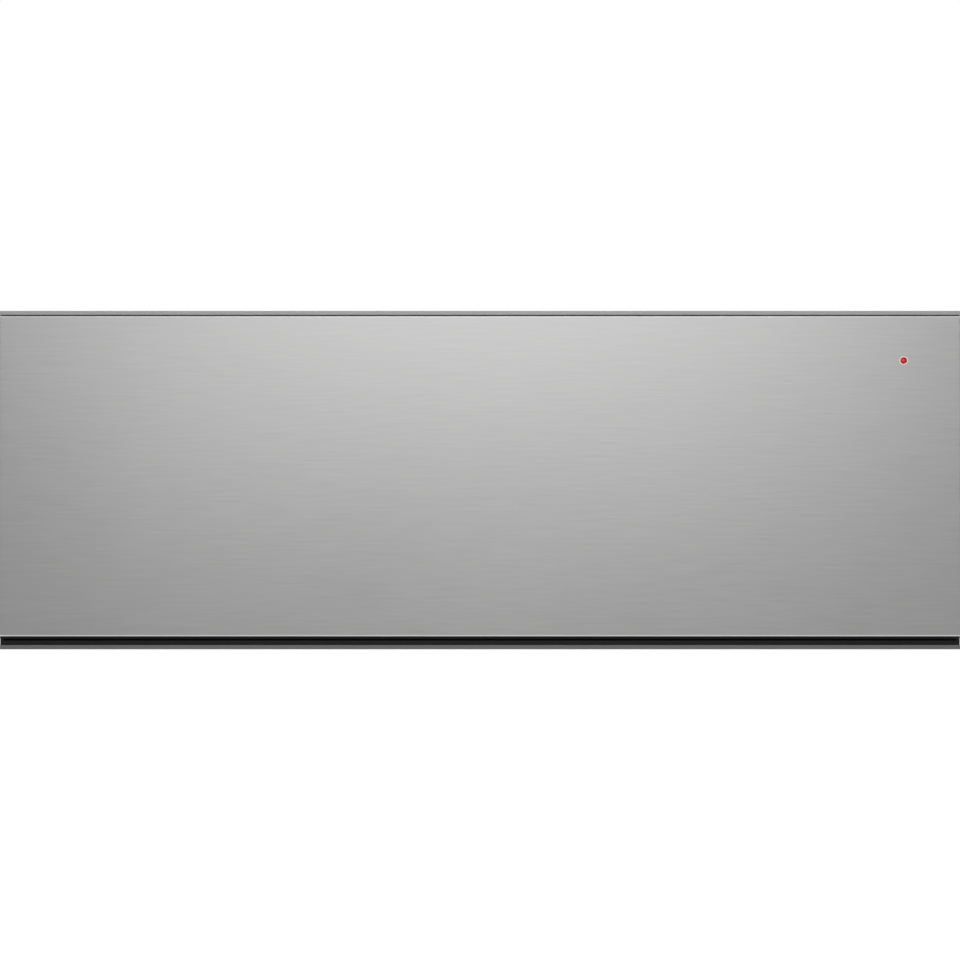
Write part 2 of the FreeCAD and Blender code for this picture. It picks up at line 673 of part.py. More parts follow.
def base_pan():
    """Flat base with turned-up edges, two stiffening beads and two fields of vent slots."""
    body = new_body("base_pan")
    plate = new_sketch(body, "XY")
    rectangle(plate, ("-side_inner_x", "side_inner_x"), ("flange_y", "housing_back_y"))
    pad(body, plate, "housing_sheet")
    edges = new_sketch(body, "XY", "housing_sheet")
    reach = ("flange_y + fold_start", "fold_end_y")
    rectangle(edges, ("side_inner_x - housing_sheet", "side_inner_x"), reach)
    rectangle(edges, ("-side_inner_x", "housing_sheet - side_inner_x"), reach)
    pad(body, edges, "fold_height")
    lip = new_sketch(body, "XY", "housing_sheet")
    rectangle(lip, ("-side_inner_x", "side_inner_x"), ("flange_y", "flange_y + housing_sheet"))
    pad(body, lip, "bottom_trim_height + bottom_leg_rise - housing_sheet")
    inlet_slots(body, "flange_y", "housing_sheet")
    for y in ("base_bead_front_y", "base_bead_back_y"):
        ends = (("-bead_end_x", y), ("bead_end_x", y))
        bead = new_sketch(body, "XY", "housing_sheet")
        stadium(bead, *ends, "bead_width")
        pad(body, bead, "bead_depth")
        hollow = new_sketch(body, "XY", "0")
        stadium(hollow, *ends, "bead_width - 2 * housing_sheet")
        pocket(body, hollow, "bead_depth", 1)
    screw_holes = new_sketch(body, "YZ")
    for y in PANEL_SCREW_Y:
        circle(screw_holes, y, BASE_SCREW_Z, SCREW_HOLE)
    pocket_through(body, screw_holes)
    slot = new_sketch(body, "XY")
    first = "0 - vent_pitch * (vent_count - 1) / 2"
    near = "flange_y + 2 * vent_inset"
    stadium(slot, (first, near), (first, f"{near} + vent_length"), "vent_width")
    vents = pocket_through(body, slot)
    linear_pattern(body, vents, "X", "vent_pitch", "vent_count")
    return body


def side_panel():
    """Right side wall with its front wing, stiffening beads and fixing holes."""
    body = new_body("right_side_panel")
    outline = new_sketch(body, "XY")
    polygon(
        outline,
        [
            ("side_inner_x", "flange_y"),
            ("wing_edge_x", "flange_y"),
            ("wing_edge_x", "flange_y + housing_sheet"),
            ("side_outer_x", "flange_y + housing_sheet"),
            ("side_outer_x", "housing_back_y"),
            ("side_inner_x", "housing_back_y"),
        ],
    )
    pad(body, outline, "cover_under_z")
    for level in ("bead_low_z", "bead_high_z"):
        ends = (("flange_y + bead_margin", level), ("back_inner_y - bead_margin", level))
        bead = new_sketch(body, "YZ", "side_inner_x")
        stadium(bead, *ends, "bead_width")
        pad(body, bead, "bead_depth", -1)
        hollow = new_sketch(body, "YZ", "side_outer_x")
        stadium(hollow, *ends, "bead_width - 2 * housing_sheet")
        pocket(body, hollow, "bead_depth", -1)
    holes = new_sketch(body, "YZ")
    for y in PANEL_SCREW_Y:
        circle(holes, y, COVER_SCREW_Z, SCREW_HOLE)
        circle(holes, y, BASE_SCREW_Z, SCREW_HOLE)
    for z in BACK_SCREW_Z:
        circle(holes, BACK_SCREW_Y, z, SCREW_HOLE)
    for y in RAIL_RIVET_Y:
        circle(holes, y, "rail_level", RIVET_HOLE)
    pocket_through(body, holes)
    wing_holes = new_sketch(body, "XZ", "flange_y")
    circle(wing_holes, "wing_hole_x", "wing_hole_low_z", "cabinet_hole_radius")
    circle(
        wing_holes, "wing_hole_x", "wing_hole_low_z + cabinet_hole_spacing", "cabinet_hole_radius"
    )
    pocket(body, wing_holes, "housing_sheet", 1)
    slot = new_sketch(body, "YZ")
    last, top = "fold_end_y - vent_inset / 2", "cover_under_z - vent_inset"
    stadium(slot, (last, f"{top} - vent_length"), (last, top), "vent_width")
    vents = pocket_through(body, slot)
    vents_row = linear_pattern(body, vents, "Y", "vent_pitch", "vent_count")
    vents_row.Reversed = True
    return body


def back_panel():
    """Rear wall with side edges folded forward, vent fields and the gland hole."""
    body = new_body("back_panel")
    plate = new_sketch(body, "XZ", "back_inner_y")
    rectangle(plate, ("-side_inner_x", "side_inner_x"), ("housing_sheet", "cover_under_z"))
    pad(body, plate, "housing_sheet", 1)
    folds = new_sketch(body, "XZ", "back_inner_y")
    tall = ("housing_sheet", "cover_under_z - cover_sheet")
    rectangle(folds, ("side_inner_x - housing_sheet", "side_inner_x"), tall)
    rectangle(folds, ("-side_inner_x", "housing_sheet - side_inner_x"), tall)
    pad(body, folds, "fold_height", -1)
    holes = new_sketch(body, "YZ")
    for z in BACK_SCREW_Z:
        circle(holes, BACK_SCREW_Y, z, SCREW_HOLE)
    pocket_through(body, holes)
    gland_hole = new_sketch(body, "XZ", "back_inner_y")
    circle(gland_hole, "-gland_from_middle", "gland_level", "gland_thread_radius + 0.2")
    for x in LATCH_SCREW_X:
        circle(gland_hole, x, "latch_level", SCREW_HOLE)
        circle(gland_hole, f"0 - ({x})", "latch_level", SCREW_HOLE)
    pocket(body, gland_hole, "housing_sheet", 1)
    field = "vent_pitch * (vent_count - 1)"
    top = "cover_under_z - vent_inset - vent_length"
    for first, level in (
        (f"-back_vent_x - {field}", top),
        ("back_vent_x", top),
        (f"-{field} / 2", "gland_level"),
    ):
        slot = new_sketch(body, "XZ", "back_inner_y")
        stadium(slot, (first, level), (first, f"{level} + vent_length"), "vent_width")
        vents = pocket(body, slot, "housing_sheet", 1)
        linear_pattern(body, vents, "X", "vent_pitch", "vent_count")
    return body


def top_cover():
    """Cover with its edges folded down, two beads across and a field of vents at the back."""
    body = new_body("top_cover")
    plate = new_sketch(body, "XY", "cover_under_z")
    rectangle(plate, ("-side_outer_x", "side_outer_x"), ("flange_y", "housing_back_y"))
    pad(body, plate, "cover_sheet", 1)
    folds = new_sketch(body, "XY", "cover_under_z")
    reach = ("flange_y + fold_start", "fold_end_y")
    rectangle(folds, ("side_inner_x - cover_sheet", "side_inner_x"), reach)
    rectangle(folds, ("-side_inner_x", "cover_sheet - side_inner_x"), reach)
    pad(body, folds, "fold_height", -1)
    front_fold = new_sketch(body, "XY", "cover_under_z")
    across = ("fold_gap - side_inner_x", "side_inner_x - fold_gap")
    rectangle(front_fold, across, ("flange_y", "flange_y + cover_sheet"))
    pad(body, front_fold, "cover_under_z - opening_top_z", -1)
    side_holes = new_sketch(body, "YZ")
    for y in PANEL_SCREW_Y:
        circle(side_holes, y, COVER_SCREW_Z, SCREW_HOLE)
    pocket_through(body, side_holes)
    rivet_holes = new_sketch(body, "XZ", "flange_y")
    for x in TRIM_RIVET_X:
        circle(rivet_holes, x, "trim_rivet_z", RIVET_HOLE)
    pocket(body, rivet_holes, "cover_sheet", 1)
    for y in ("base_bead_front_y", "base_bead_back_y"):
        ends = (("-bead_end_x", y), ("bead_end_x", y))
        bead = new_sketch(body, "XY", "cover_under_z")
        stadium(bead, *ends, "bead_width")
        pad(body, bead, "bead_depth", -1)
        hollow = new_sketch(body, "XY", "housing_height")
        stadium(hollow, *ends, "bead_width - 2 * cover_sheet")
        pocket(body, hollow, "bead_depth", -1)
    return body


def heat_shield():
    """Sheet that closes the heated space under the mineral wool, carried by folded ends."""
    body = new_body("top_heat_shield")
    plate = new_sketch(body, "XY", "opening_top_z")
    inset = "cover_sheet + cap_play"
    across = (f"{inset} - side_inner_x", f"side_inner_x - ({inset})")
    front, back = f"flange_y + {inset}", "fold_end_y - cap_play"
    rectangle(plate, across, (front, back))
    pad(body, plate, "shield_sheet", 1)
    ends = new_sketch(body, "XY", "shield_top_z")
    rectangle(ends, across, (front, f"{front} + shield_sheet"))
    pad(body, ends, "top_insulation", 1)
    rear = new_sketch(body, "XY", "shield_top_z")
    rectangle(rear, across, (f"{back} - shield_sheet", back))
    pad(body, rear, "top_insulation", 1)
    return body


def top_wool():
    """Mineral wool mat between heat shield and cover."""
    return block(
        "top_insulation_mat",
        ("mat_margin - side_inner_x", "side_inner_x - mat_margin"),
        (
            "flange_y + cover_sheet + shield_sheet + wool_margin",
            "fold_end_y - shield_sheet - wool_margin",
        ),
        ("shield_top_z", "cover_under_z - bead_depth - wool_gap"),
    )


def top_trim():
    """Stainless lip above the drawer front, with a leg behind it."""
    body = new_body("top_trim")
    lip = new_sketch(body, "XZ", "face_y + trim_setback")
    rectangle(
        lip,
        ("-front_width / 2", "front_width / 2"),
        ("overall_height - top_trim_height", "overall_height"),
    )
    pad(body, lip, "flange_y - face_y - trim_setback", 1)
    leg = new_sketch(body, "XZ", "flange_y - trim_leg")
    rectangle(
        leg,
        ("-front_width / 2", "front_width / 2"),
        ("opening_top_z", "overall_height - top_trim_height"),
    )
    pad(body, leg, "trim_leg", 1)
    ends = new_sketch(body, "XZ", "face_y + trim_setback + 2 * trim_round")
    reach = ("panel_top_z + trim_end_play", "overall_height - top_trim_height")
    rectangle(ends, ("front_width / 2 - trim_end", "front_width / 2"), reach)
    rectangle(ends, ("-front_width / 2", "trim_end - front_width / 2"), reach)
    pad(body, ends, "flange_y - face_y - trim_setback - 2 * trim_round", 1)
    holes = new_sketch(body, "XZ", "flange_y - trim_leg")
    for x in TRIM_RIVET_X:
        circle(holes, x, "trim_rivet_z", RIVET_HOLE)
    pocket(body, holes, "trim_leg", 1)
    front = value("face_y + trim_setback")
    fillet(
        body,
        "trim_round",
        lambda edge: runs_along(edge, Vector(1, 0, 0)) and abs(edge.CenterOfMass.y - front) < 1e-6,
    )
    return body


def bottom_trim():
    """Lip below the drawer front. Its slotted leg is welded to the base and to the wings."""
    body = new_body("bottom_trim")
    lip = new_sketch(body, "XZ", "face_y + trim_setback")
    rectangle(lip, ("-front_width / 2", "front_width / 2"), ("0", "bottom_trim_height"))
    pad(body, lip, "flange_y - face_y - trim_setback", 1)
    leg = new_sketch(body, "XZ", "flange_y - trim_leg")
    rectangle(
        leg,
        ("-front_width / 2", "front_width / 2"),
        ("bottom_trim_height", "bottom_trim_height + bottom_leg_rise"),
    )
    pad(body, leg, "trim_leg", 1)
    inlet_slots(body, "flange_y - trim_leg", "trim_leg")
    front = value("face_y + trim_setback")
    fillet(
        body,
        "trim_round",
        lambda edge: runs_along(edge, Vector(1, 0, 0)) and abs(edge.CenterOfMass.y - front) < 1e-6,
    )
    return body


def air_gap_profile():
    """Black angle with closed ends in the lower gap. Air passes over it to the inlet slots."""
    body = new_body("air_gap_profile")
    section = new_sketch(body, "YZ")
    front, back = "face_y + gap_profile_setback", "flange_y - trim_leg"
    top = "bottom_trim_height + gap_profile_height"
    polygon(
        section,
        [
            (front, "bottom_trim_height"),
            (back, "bottom_trim_height"),
            (back, "bottom_trim_height + gap_profile_wall"),
            (f"{front} + gap_profile_wall", "bottom_trim_height + gap_profile_wall"),
            (f"{front} + gap_profile_wall", top),
            (front, top),
        ],
    )
    pad(body, section, "front_width", 0)
    front_y, top_z = value(front), value(top)
    fillet(
        body,
        "gap_profile_round",
        lambda edge: runs_along(edge, Vector(1, 0, 0))
        and abs(edge.CenterOfMass.y - front_y) < 1e-6
        and abs(edge.CenterOfMass.z - top_z) < 1e-6,
    )
    cap = ((front, back), ("bottom_trim_height", "cap_reach_z"))
    for level, towards in (
        ("front_width / 2 - gap_profile_cap", 1),
        ("gap_profile_cap - front_width / 2", -1),
    ):
        end = new_sketch(body, "YZ", level)
        rectangle(end, *cap)
        pad(body, end, "gap_profile_cap", towards)
    return body


def front_bumpers():
    """Four rubber stops that end the inward push."""
    height = "front_stop_gap - push_travel - bumper_clearance"
    right = [
        rod(
            f"bumper_{name}",
            "Y",
            "bumper_radius",
            f"flange_y - ({height})",
            "flange_y",
            ("wing_hole_x", level),
        )
        for name, level in (("low", "bumper_low_z"), ("high", "bumper_high_z"))
    ]
    left = [mirrored(bumper.Name + "_left", bumper) for bumper in right]
    return group("front_bumpers", right + left)


def latch_bodies():
    """Push latch housings on the back panel, bored for their plungers."""
    half = "latch_size / 2"
    case = block(
        "latch_case",
        (f"latch_spread - {half}", f"latch_spread + {half}"),
        ("latch_front_y", "back_inner_y"),
        (f"latch_level - {half}", f"latch_level + {half}"),
    )
    foot = block(
        "latch_foot",
        (f"latch_spread - 3 * {half}", f"latch_spread + 3 * {half}"),
        ("latch_foot_y", "back_inner_y"),
        (f"latch_level - {half}", f"latch_level + {half}"),
    )
    bore = rod(
        "latch_bore",
        "Y",
        "plunger_radius + plunger_clearance",
        "latch_front_y",
        "latch_foot_y",
        ("latch_spread", "latch_level"),
    )
    screw_bores = [
        rod(
            f"latch_screw_bore_{n}",
            "Y",
            SCREW_HOLE,
            "latch_foot_y",
            "back_inner_y",
            (x, "latch_level"),
        )
        for n, x in enumerate(LATCH_SCREW_X)
    ]
    whole = fuse("latch_blank", [case, foot])
    return both_sides("latch_bodies", cut("latch_body", whole, [bore] + screw_bores))


def latch_plungers():
    """Plungers that rest against the striker plates of the closed drawer."""
    end, chamfer = "latch_front_y + plunger_grip", "plunger_radius / 6"
    pin = turned(
        "latch_plunger",
        "Y",
        ("latch_spread", "latch_level"),
        [
            ("plunger_tip_y", "0"),
            ("plunger_tip_y", f"plunger_radius - {chamfer}"),
            (f"plunger_tip_y + {chamfer}", "plunger_radius"),
            (end, "plunger_radius"),
            (end, "plunger_radius / 2"),
            (f"{end} - plunger_grip / 2", "plunger_radius / 2"),
            (f"{end} - plunger_grip / 2", "0"),
        ],
    )
    return both_sides("latch_plungers", pin)


def latch_springs():
    """Coil springs behind the plungers, each swept along a helix."""
    start = value("latch_front_y + plunger_grip + spring_wire / 2 + plunger_clearance")
    length = value("latch_foot_y - spring_wire / 2 - plunger_clearance") - start
    turns, wire = value("spring_turns"), value("spring_wire")
    radius = value("plunger_radius - spring_wire - plunger_clearance")
    helix = Part.makeHelix(length / turns, length, radius)
    section = Part.Wire(Part.Circle(Vector(radius, 0, 0), Vector(0, 1, 0), wire / 2).toShape())
    shell = Part.Wire(helix.Edges).makePipeShell([section], True, True)
    spring = doc.addObject("Part::Feature", "latch_spring")
    spring.Shape = shell
    spring.Placement = Placement(
        Vector(value("latch_spread"), start, value("latch_level")), TURNS["Y"]
    )
    return both_sides("latch_springs", spring)


def cable_gland():
    """Mains inlet in the back panel: collar, dome and threaded sleeve round a clear bore."""
    end = "housing_back_y + gland_projection"
    return turned(
        "cable_gland",
        "Y",
        ("-gland_from_middle", "gland_level"),
        [
            ("gland_front_y", "gland_bore_radius"),
            ("gland_front_y", "gland_thread_radius"),
            ("housing_back_y", "gland_thread_radius"),
            ("housing_back_y", "nut_radius"),
            ("housing_back_y + gland_projection * 0.35", "nut_radius"),
            ("housing_back_y + gland_projection * 0.45", "nut_radius * 0.85"),
            ("housing_back_y + gland_projection * 0.8", "nut_radius * 0.8"),
            (end, "nut_radius * 0.56"),
            (end, "gland_bore_radius"),
        ],
    )


def gland_nut():
    """Six-sided nut on the gland inside the housing."""
    body = new_body("gland_nut")
    centre = ("-gland_from_middle", "gland_level")
    hexagon = new_sketch(body, "XZ", "back_inner_y", centre)
    corners = [(math.cos(math.radians(60 * n)), math.sin(math.radians(60 * n))) for n in range(6)]
    polygon(hexagon, [(f"nut_radius * {c:.6f}", f"nut_radius * {s:.6f}") for c, s in corners])
    pad(body, hexagon, "nut_thickness", -1)
    bore = new_sketch(body, "XZ", "back_inner_y", centre)
    circle(bore, "0", "0", "gland_thread_radius + hole_clearance")
    pocket(body, bore, "nut_thickness", -1)
    return body


def terminal_block():
    """Three-way terminal on the base beside the gland."""
    body = new_body("terminal_block")
    left = "0 - gland_from_middle + 2.4 * nut_radius"
    width = (left, f"{left} + terminal_width")
    top = "housing_sheet + terminal_height"
    poles = [f"{left} + terminal_width / 2 + ({n}) * terminal_pitch" for n in (-1, 0, 1)]
    foot = new_sketch(body, "XY", "housing_sheet")
    rectangle(foot, width, ("terminal_back_y - terminal_depth", "terminal_back_y"))
    pad(body, foot, "terminal_height", 1)
    step = new_sketch(body, "XY", top)
    middle = "terminal_back_y - terminal_depth / 2"
    rectangle(step, width, (f"{middle} - terminal_step", f"{middle} + terminal_step"))
    pad(body, step, "terminal_step", 1)
    screws = new_sketch(body, "XY", f"{top} + terminal_step")
    for x in poles:
        circle(screws, x, middle, "terminal_pitch / 5")
    pocket(body, screws, "terminal_step + 1", -1)
    wires = new_sketch(body, "XZ", "terminal_back_y")
    for x in poles:
        circle(wires, x, "housing_sheet + terminal_height / 2", "terminal_pitch / 6")
    pocket(body, wires, "terminal_depth / 2 - terminal_step / 2", -1)
    return body


# --------------------------------------------------------------------- the ball slides
def channel(label, web, tip, half):
    """A slide member: a C of sheet from its web to the tips of its flanges, along Y."""
    body = new_body(label)
    section = new_sketch(body, "XZ", "rail_front_y")
    inward = "-" if value(web) > value(tip) else "+"
    top, low = f"rail_level + {half}", f"rail_level - {half}"
    polygon(
        section,
        [
            (tip, top),
            (web, top),
            (web, low),
            (tip, low),
            (tip, f"{low} + rail_sheet"),
            (f"{web} {inward} rail_sheet", f"{low} + rail_sheet"),
            (f"{web} {inward} rail_sheet", f"{top} - rail_sheet"),
            (tip, f"{top} - rail_sheet"),
        ],
    )
    pad(body, section, "rail_length", 1)
    return body


def races(body, x, height):
    """Ball grooves along both flanges of a slide member."""
    groove = new_sketch(body, "XZ", "rail_front_y")
    circle(groove, x, f"rail_level + {height}", "race_radius")
    circle(groove, x, f"rail_level - {height}", "race_radius")
    pocket(body, groove, "rail_length", 1)


def web_holes(body, radius):
    holes = new_sketch(body, "YZ")
    for y in RAIL_RIVET_Y:
        circle(holes, y, "rail_level", radius)
    pocket_through(body, holes)


def slide_members():
    """Outer, middle and inner member of the right-hand slide."""
    outer = channel("right_rail_outer", "side_inner_x", "outer_tip_x", "outer_half")
    races(outer, "outer_ball_x", "outer_ball")
    web_holes(outer, RIVET_HOLE)
    middle = channel("right_rail_middle", "middle_web_x", "middle_tip_x", "middle_half")
    races(middle, "outer_ball_x", "outer_ball")
    races(middle, "inner_ball_x", "inner_ball")
    inner = channel("right_rail_inner", "tub_side_x", "inner_tip_x", "inner_half")
    races(inner, "inner_ball_x", "inner_ball")
    web_holes(inner, RIVET_HOLE)
    return [outer, middle, inner]


def ball_cage(label, web, tip, ball_x, height):
    """A cage strip folded round a slide member, with its two rows of balls."""
    body = new_body(label + "_strip")
    section = new_sketch(body, "XZ", "cage_front_y")
    top, low = f"rail_level + {height}", f"rail_level - {height}"
    half = "cage_sheet / 2"
    polygon(
        section,
        [
            (tip, f"{top} + {half}"),
            (web, f"{top} + {half}"),
            (web, f"{low} - {half}"),
            (tip, f"{low} - {half}"),
            (tip, f"{low} + {half}"),
            (f"{web} - cage_sheet", f"{low} + {half}"),
            (f"{web} - cage_sheet", f"{top} - {half}"),
            (tip, f"{top} - {half}"),
        ],
    )
    pad(body, section, "cage_length", 1)
    window = new_sketch(body, "XY", f"{low} - cage_sheet")
    circle(window, ball_x, "cage_front_y + ball_pitch / 2", "race_radius")
    windows = pocket(body, window, f"2 * ({height} + cage_sheet)", 1)
    count = "floor(cage_length / ball_pitch)"
    linear_pattern(body, windows, "Y", "ball_pitch", count)
    balls = []
    for n in range(int(value(count))):
        for side, level in (("top", top), ("low", low)):
            ball = doc.addObject("Part::Sphere", f"{label}_ball_{side}_{n}")
            bind(ball, "Radius", "ball_radius")
            bind(ball, "Placement.Base.x", ball_x)
            bind(ball, "Placement.Base.y", f"cage_front_y + ball_pitch * ({n} + 0.5)")
            bind(ball, "Placement.Base.z", level)
            balls.append(ball)
    return group(label, [body] + balls)


def ball_cages():
    """The ball cages of both slides: those outside the middle members and those inside."""
    outer = ball_cage(
        "outer_cage",
        "(side_inner_x - rail_sheet + middle_web_x + cage_sheet) / 2",
        "outer_tip_x + cage_tip_gap",
        "outer_ball_x",
        "outer_ball",
    )
    inner = ball_cage(
        "inner_cage",
        "inner_tip_x + 1.5 * cage_sheet",
        "middle_tip_x + cage_tip_gap",
        "inner_ball_x",
        "inner_ball",
    )
    return [both_sides("outer_cages", outer), both_sides("inner_cages", inner)]


# ------------------------------------------------------------------------- the drawer
def front_panel():
    """Folded stainless front with rolled edges, open at the back, holed for the indicator."""
    body = new_body("front_panel")
    face = new_sketch(body, "XZ", "face_y")
    rectangle(face, ("-front_width / 2", "front_width / 2"), ("panel_bottom_z", "panel_top_z"))
    pad(body, face, "front_depth", 1)
    fillet(body, "front_corner", lambda edge: runs_along(edge, Vector(0, 1, 0)))
    front = value("face_y")
    fillet(body, "front_edge_round", lambda edge: abs(edge.BoundBox.YMax - front) < 1e-6)
    hollow = new_sketch(body, "XZ", "front_back_y")
    rectangle(
        hollow,
        ("front_sheet - front_width / 2", "front_width / 2 - front_sheet"),
        ("panel_bottom_z + front_sheet", "panel_top_z - front_sheet"),
    )
    pocket(body, hollow, "front_depth - front_sheet", -1)
    hole = new_sketch(body, "XZ", "face_y")
    circle(hole, "lens_x", "lens_z", "lens_radius + ring_sleeve + hole_clearance")
    pocket(body, hole, "front_sheet", 1)
    return body


def front_liner():
    """Inner skin that closes the back of the front, holed for the indicator's lead."""
    body = new_body("front_liner")
    inset = "front_sheet"
    plate = new_sketch(body, "XZ", "front_back_y")
    rectangle(
        plate,
        (f"{inset} - front_width / 2", f"front_width / 2 - {inset}"),
        (f"panel_bottom_z + {inset}", f"panel_top_z - {inset}"),
    )
    pad(body, plate, "liner_sheet", -1)
    lead_hole = new_sketch(body, "XZ", "front_back_y")
    circle(lead_hole, "lens_x", "lens_z", "lead_diameter")
    for x, z in bracket_screw_spots():
        circle(lead_hole, x, z, SCREW_HOLE)
        circle(lead_hole, f"0 - ({x})", z, SCREW_HOLE)
    pocket(body, lead_hole, "liner_sheet", -1)
    return body


def front_wool():
    """Mineral wool inside the front, notched round the indicator."""
    mat = block(
        "front_wool_blank",
        (
            "front_sheet + wool_margin - front_width / 2",
            "front_width / 2 - front_sheet - wool_margin",
        ),
        ("face_y + front_sheet", "front_back_y - liner_sheet - screw_length"),
        ("panel_bottom_z + front_sheet + wool_margin", "panel_top_z - front_sheet - wool_margin"),
    )
    notch = block(
        "front_wool_notch",
        ("lens_x - lead_bend", "front_width / 2"),
        ("face_y", "front_back_y"),
        ("lens_z - lead_bend", "panel_top_z"),
    )
    return cut("front_insulation_mat", mat, [notch])


def front_lower_strip():
    """Black strip under the drawer front."""
    return block(
        "front_lower_strip",
        ("-front_width / 2", "front_width / 2"),
        ("face_y + lower_strip_setback", "front_back_y"),
        ("panel_bottom_z - lower_strip_height", "panel_bottom_z"),
    )


def indicator_lens():
    """Red pilot lamp: a domed stem through the ring."""
    return turned(
        "indicator_lens",
        "Y",
        ("lens_x", "lens_z"),
        [
            ("face_y - lens_proud", "0"),
            ("face_y - lens_proud", "lens_radius * 0.35"),
            ("face_y - lens_proud * 0.8", "lens_radius * 0.68"),
            ("face_y - lens_proud * 0.4", "lens_radius * 0.9"),
            ("face_y", "lens_radius"),
            ("face_y + lens_length", "lens_radius"),
            ("face_y + lens_length", "0"),
        ],
    )


def indicator_ring():
    """Pale flanged sleeve that lines the hole in the front."""
    bore = "lens_radius + hole_clearance"
    sleeve = "lens_radius + ring_sleeve"
    return turned(
        "indicator_ring",
        "Y",
        ("lens_x", "lens_z"),
        [
            ("face_y - ring_proud", bore),
            ("face_y - ring_proud", "ring_radius - ring_proud"),
            ("face_y", "ring_radius"),
            ("face_y", sleeve),
            ("face_y + lens_length / 2", sleeve),
            ("face_y + lens_length / 2", bore),
        ],
    )


def indicator_lead():
    """Lead from the lamp, through the liner, to the side of the rotary switch."""
    start = Vector(value("lens_x"), value("face_y + lens_length"), value("lens_z"))
    turn_y = value("knob_y")
    end_x = value("knob_x + switch_size / 2")
    bend = value("lead_bend")
    corner = Vector(start.x, turn_y, start.z)
    into = corner - Vector(0, bend, 0)
    out = corner - Vector(bend, 0, 0)
    half = bend * math.sqrt(0.5)
    middle = Vector(corner.x - bend + half, turn_y - bend + half, start.z)
    end = Vector(end_x, turn_y, start.z)
    path = Part.Wire(
        [
            Part.LineSegment(start, into).toShape(),
            Part.Arc(into, middle, out).toShape(),
            Part.LineSegment(out, end).toShape(),
        ]
    )
    section = Part.Wire(Part.Circle(start, Vector(0, 1, 0), value("lead_diameter / 2")).toShape())
    lead = doc.addObject("Part::Feature", "indicator_lead")
    lead.Label = "indicator_lead"
    lead.Shape = path.makePipeShell([section], True, True)
    print("indicator lead bend", bend, "mm, length", round(path.Length, 1), "mm")
    return lead


def bracket_screw_spots():
    """Screws of the front brackets in the liner: (x, z) on the right-hand side."""
    return [
        ("bracket_screw_x", "bracket_low_z + bracket_screw_margin"),
        ("bracket_screw_x", "bracket_high_z - bracket_screw_margin"),
    ]


def tub_side():
    """Right wall of the tub: turned-out rim above, folded edge behind the front."""
    body = new_body("drawer_right_side")
    wall = new_sketch(body, "XZ", "front_back_y")
    polygon(
        wall,
        [
            ("tub_inner_x", "tray_top_z"),
            ("tub_side_x", "tray_top_z"),
            ("tub_side_x", "rim_level - tub_sheet"),
            ("tub_side_x + rim_width", "rim_level - tub_sheet"),
            ("tub_side_x + rim_width", "rim_level"),
            ("tub_inner_x", "rim_level"),
        ],
    )
    pad(body, wall, "wall_back_y - front_back_y", 1)
    holes = new_sketch(body, "YZ", "tub_inner_x")
    for y in RAIL_RIVET_Y:
        circle(holes, y, "rail_level", RIVET_HOLE)
    pocket(body, holes, "tub_sheet", 1)
    rim_front = value("front_back_y")
    fillet(
        body,
        "rim_width / 2",
        lambda edge: runs_along(edge, Vector(0, 0, 1))
        and edge.CenterOfMass.x > value("tub_side_x") + 1
        and edge.CenterOfMass.y > rim_front + 1,
    )
    return body


def tub_floor():
    """Floor of the tub with its edges folded down."""
    body = new_body("drawer_floor")
    plate = new_sketch(body, "XY", "floor_level")
    across = ("-tub_inner_x", "tub_inner_x")
    rectangle(plate, across, ("console_back_y", "tub_back_y"))
    pad(body, plate, "tub_sheet", 1)
    folds = new_sketch(body, "XY", "floor_level")
    deep = ("console_back_y", "tub_back_y")
    rectangle(folds, ("tub_inner_x - tub_sheet", "tub_inner_x"), deep)
    rectangle(folds, ("-tub_inner_x", "tub_sheet - tub_inner_x"), deep)
    pad(body, folds, "fold_height", -1)
    return body


def shroud_screw_holes(body, y, sheet):
    """Screw holes of the fan shroud through a sheet that starts at y."""
    holes = new_sketch(body, "XZ", y, ("0", "fan_level"))
    for x, z in SHROUD_SCREWS:
        circle(holes, x, z, SCREW_HOLE)
    pocket(body, holes, sheet, 1)


def tub_back():
    """Rear wall of the tub: fan grille in the middle, outlet slots low on both sides."""
    body = new_body("drawer_back")
    plate = new_sketch(body, "XZ", "tub_back_y")
    rectangle(plate, ("-tub_inner_x", "tub_inner_x"), ("tray_top_z", "rim_level"))
    pad(body, plate, "tub_sheet", 1)
    rim = new_sketch(body, "XZ", "wall_back_y")
    rectangle(rim, ("-tub_inner_x", "tub_inner_x"), ("rim_level - tub_sheet", "rim_level"))
    pad(body, rim, "rim_width", 1)
    shroud_screw_holes(body, "tub_back_y", "tub_sheet")
    for inner, outer, count in GRILLE_RINGS:
        slot = new_sketch(body, "XZ", "tub_back_y", ("0", "fan_level"))
        stadium(slot, ("0", inner), ("0", outer), "vent_width")
        ray = pocket(body, slot, "tub_sheet", 1)
        polar_pattern(body, ray, slot, count)
    for first in ("-tub_vent_x - vent_pitch * (vent_count - 1)", "tub_vent_x"):
        slot = new_sketch(body, "XZ", "tub_back_y")
        stadium(slot, (first, "tub_vent_z"), (first, "tub_vent_z + vent_length"), "vent_width")
        outlet = pocket(body, slot, "tub_sheet", 1)
        linear_pattern(body, outlet, "X", "vent_pitch", "vent_count")
    return body


def tub_front():
    """Inner front wall of the tub, between tub and console."""
    return block(
        "drawer_inner_front",
        ("-tub_inner_x", "tub_inner_x"),
        ("console_back_y", "tub_front_y"),
        ("floor_top_z", "rim_level"),
    )


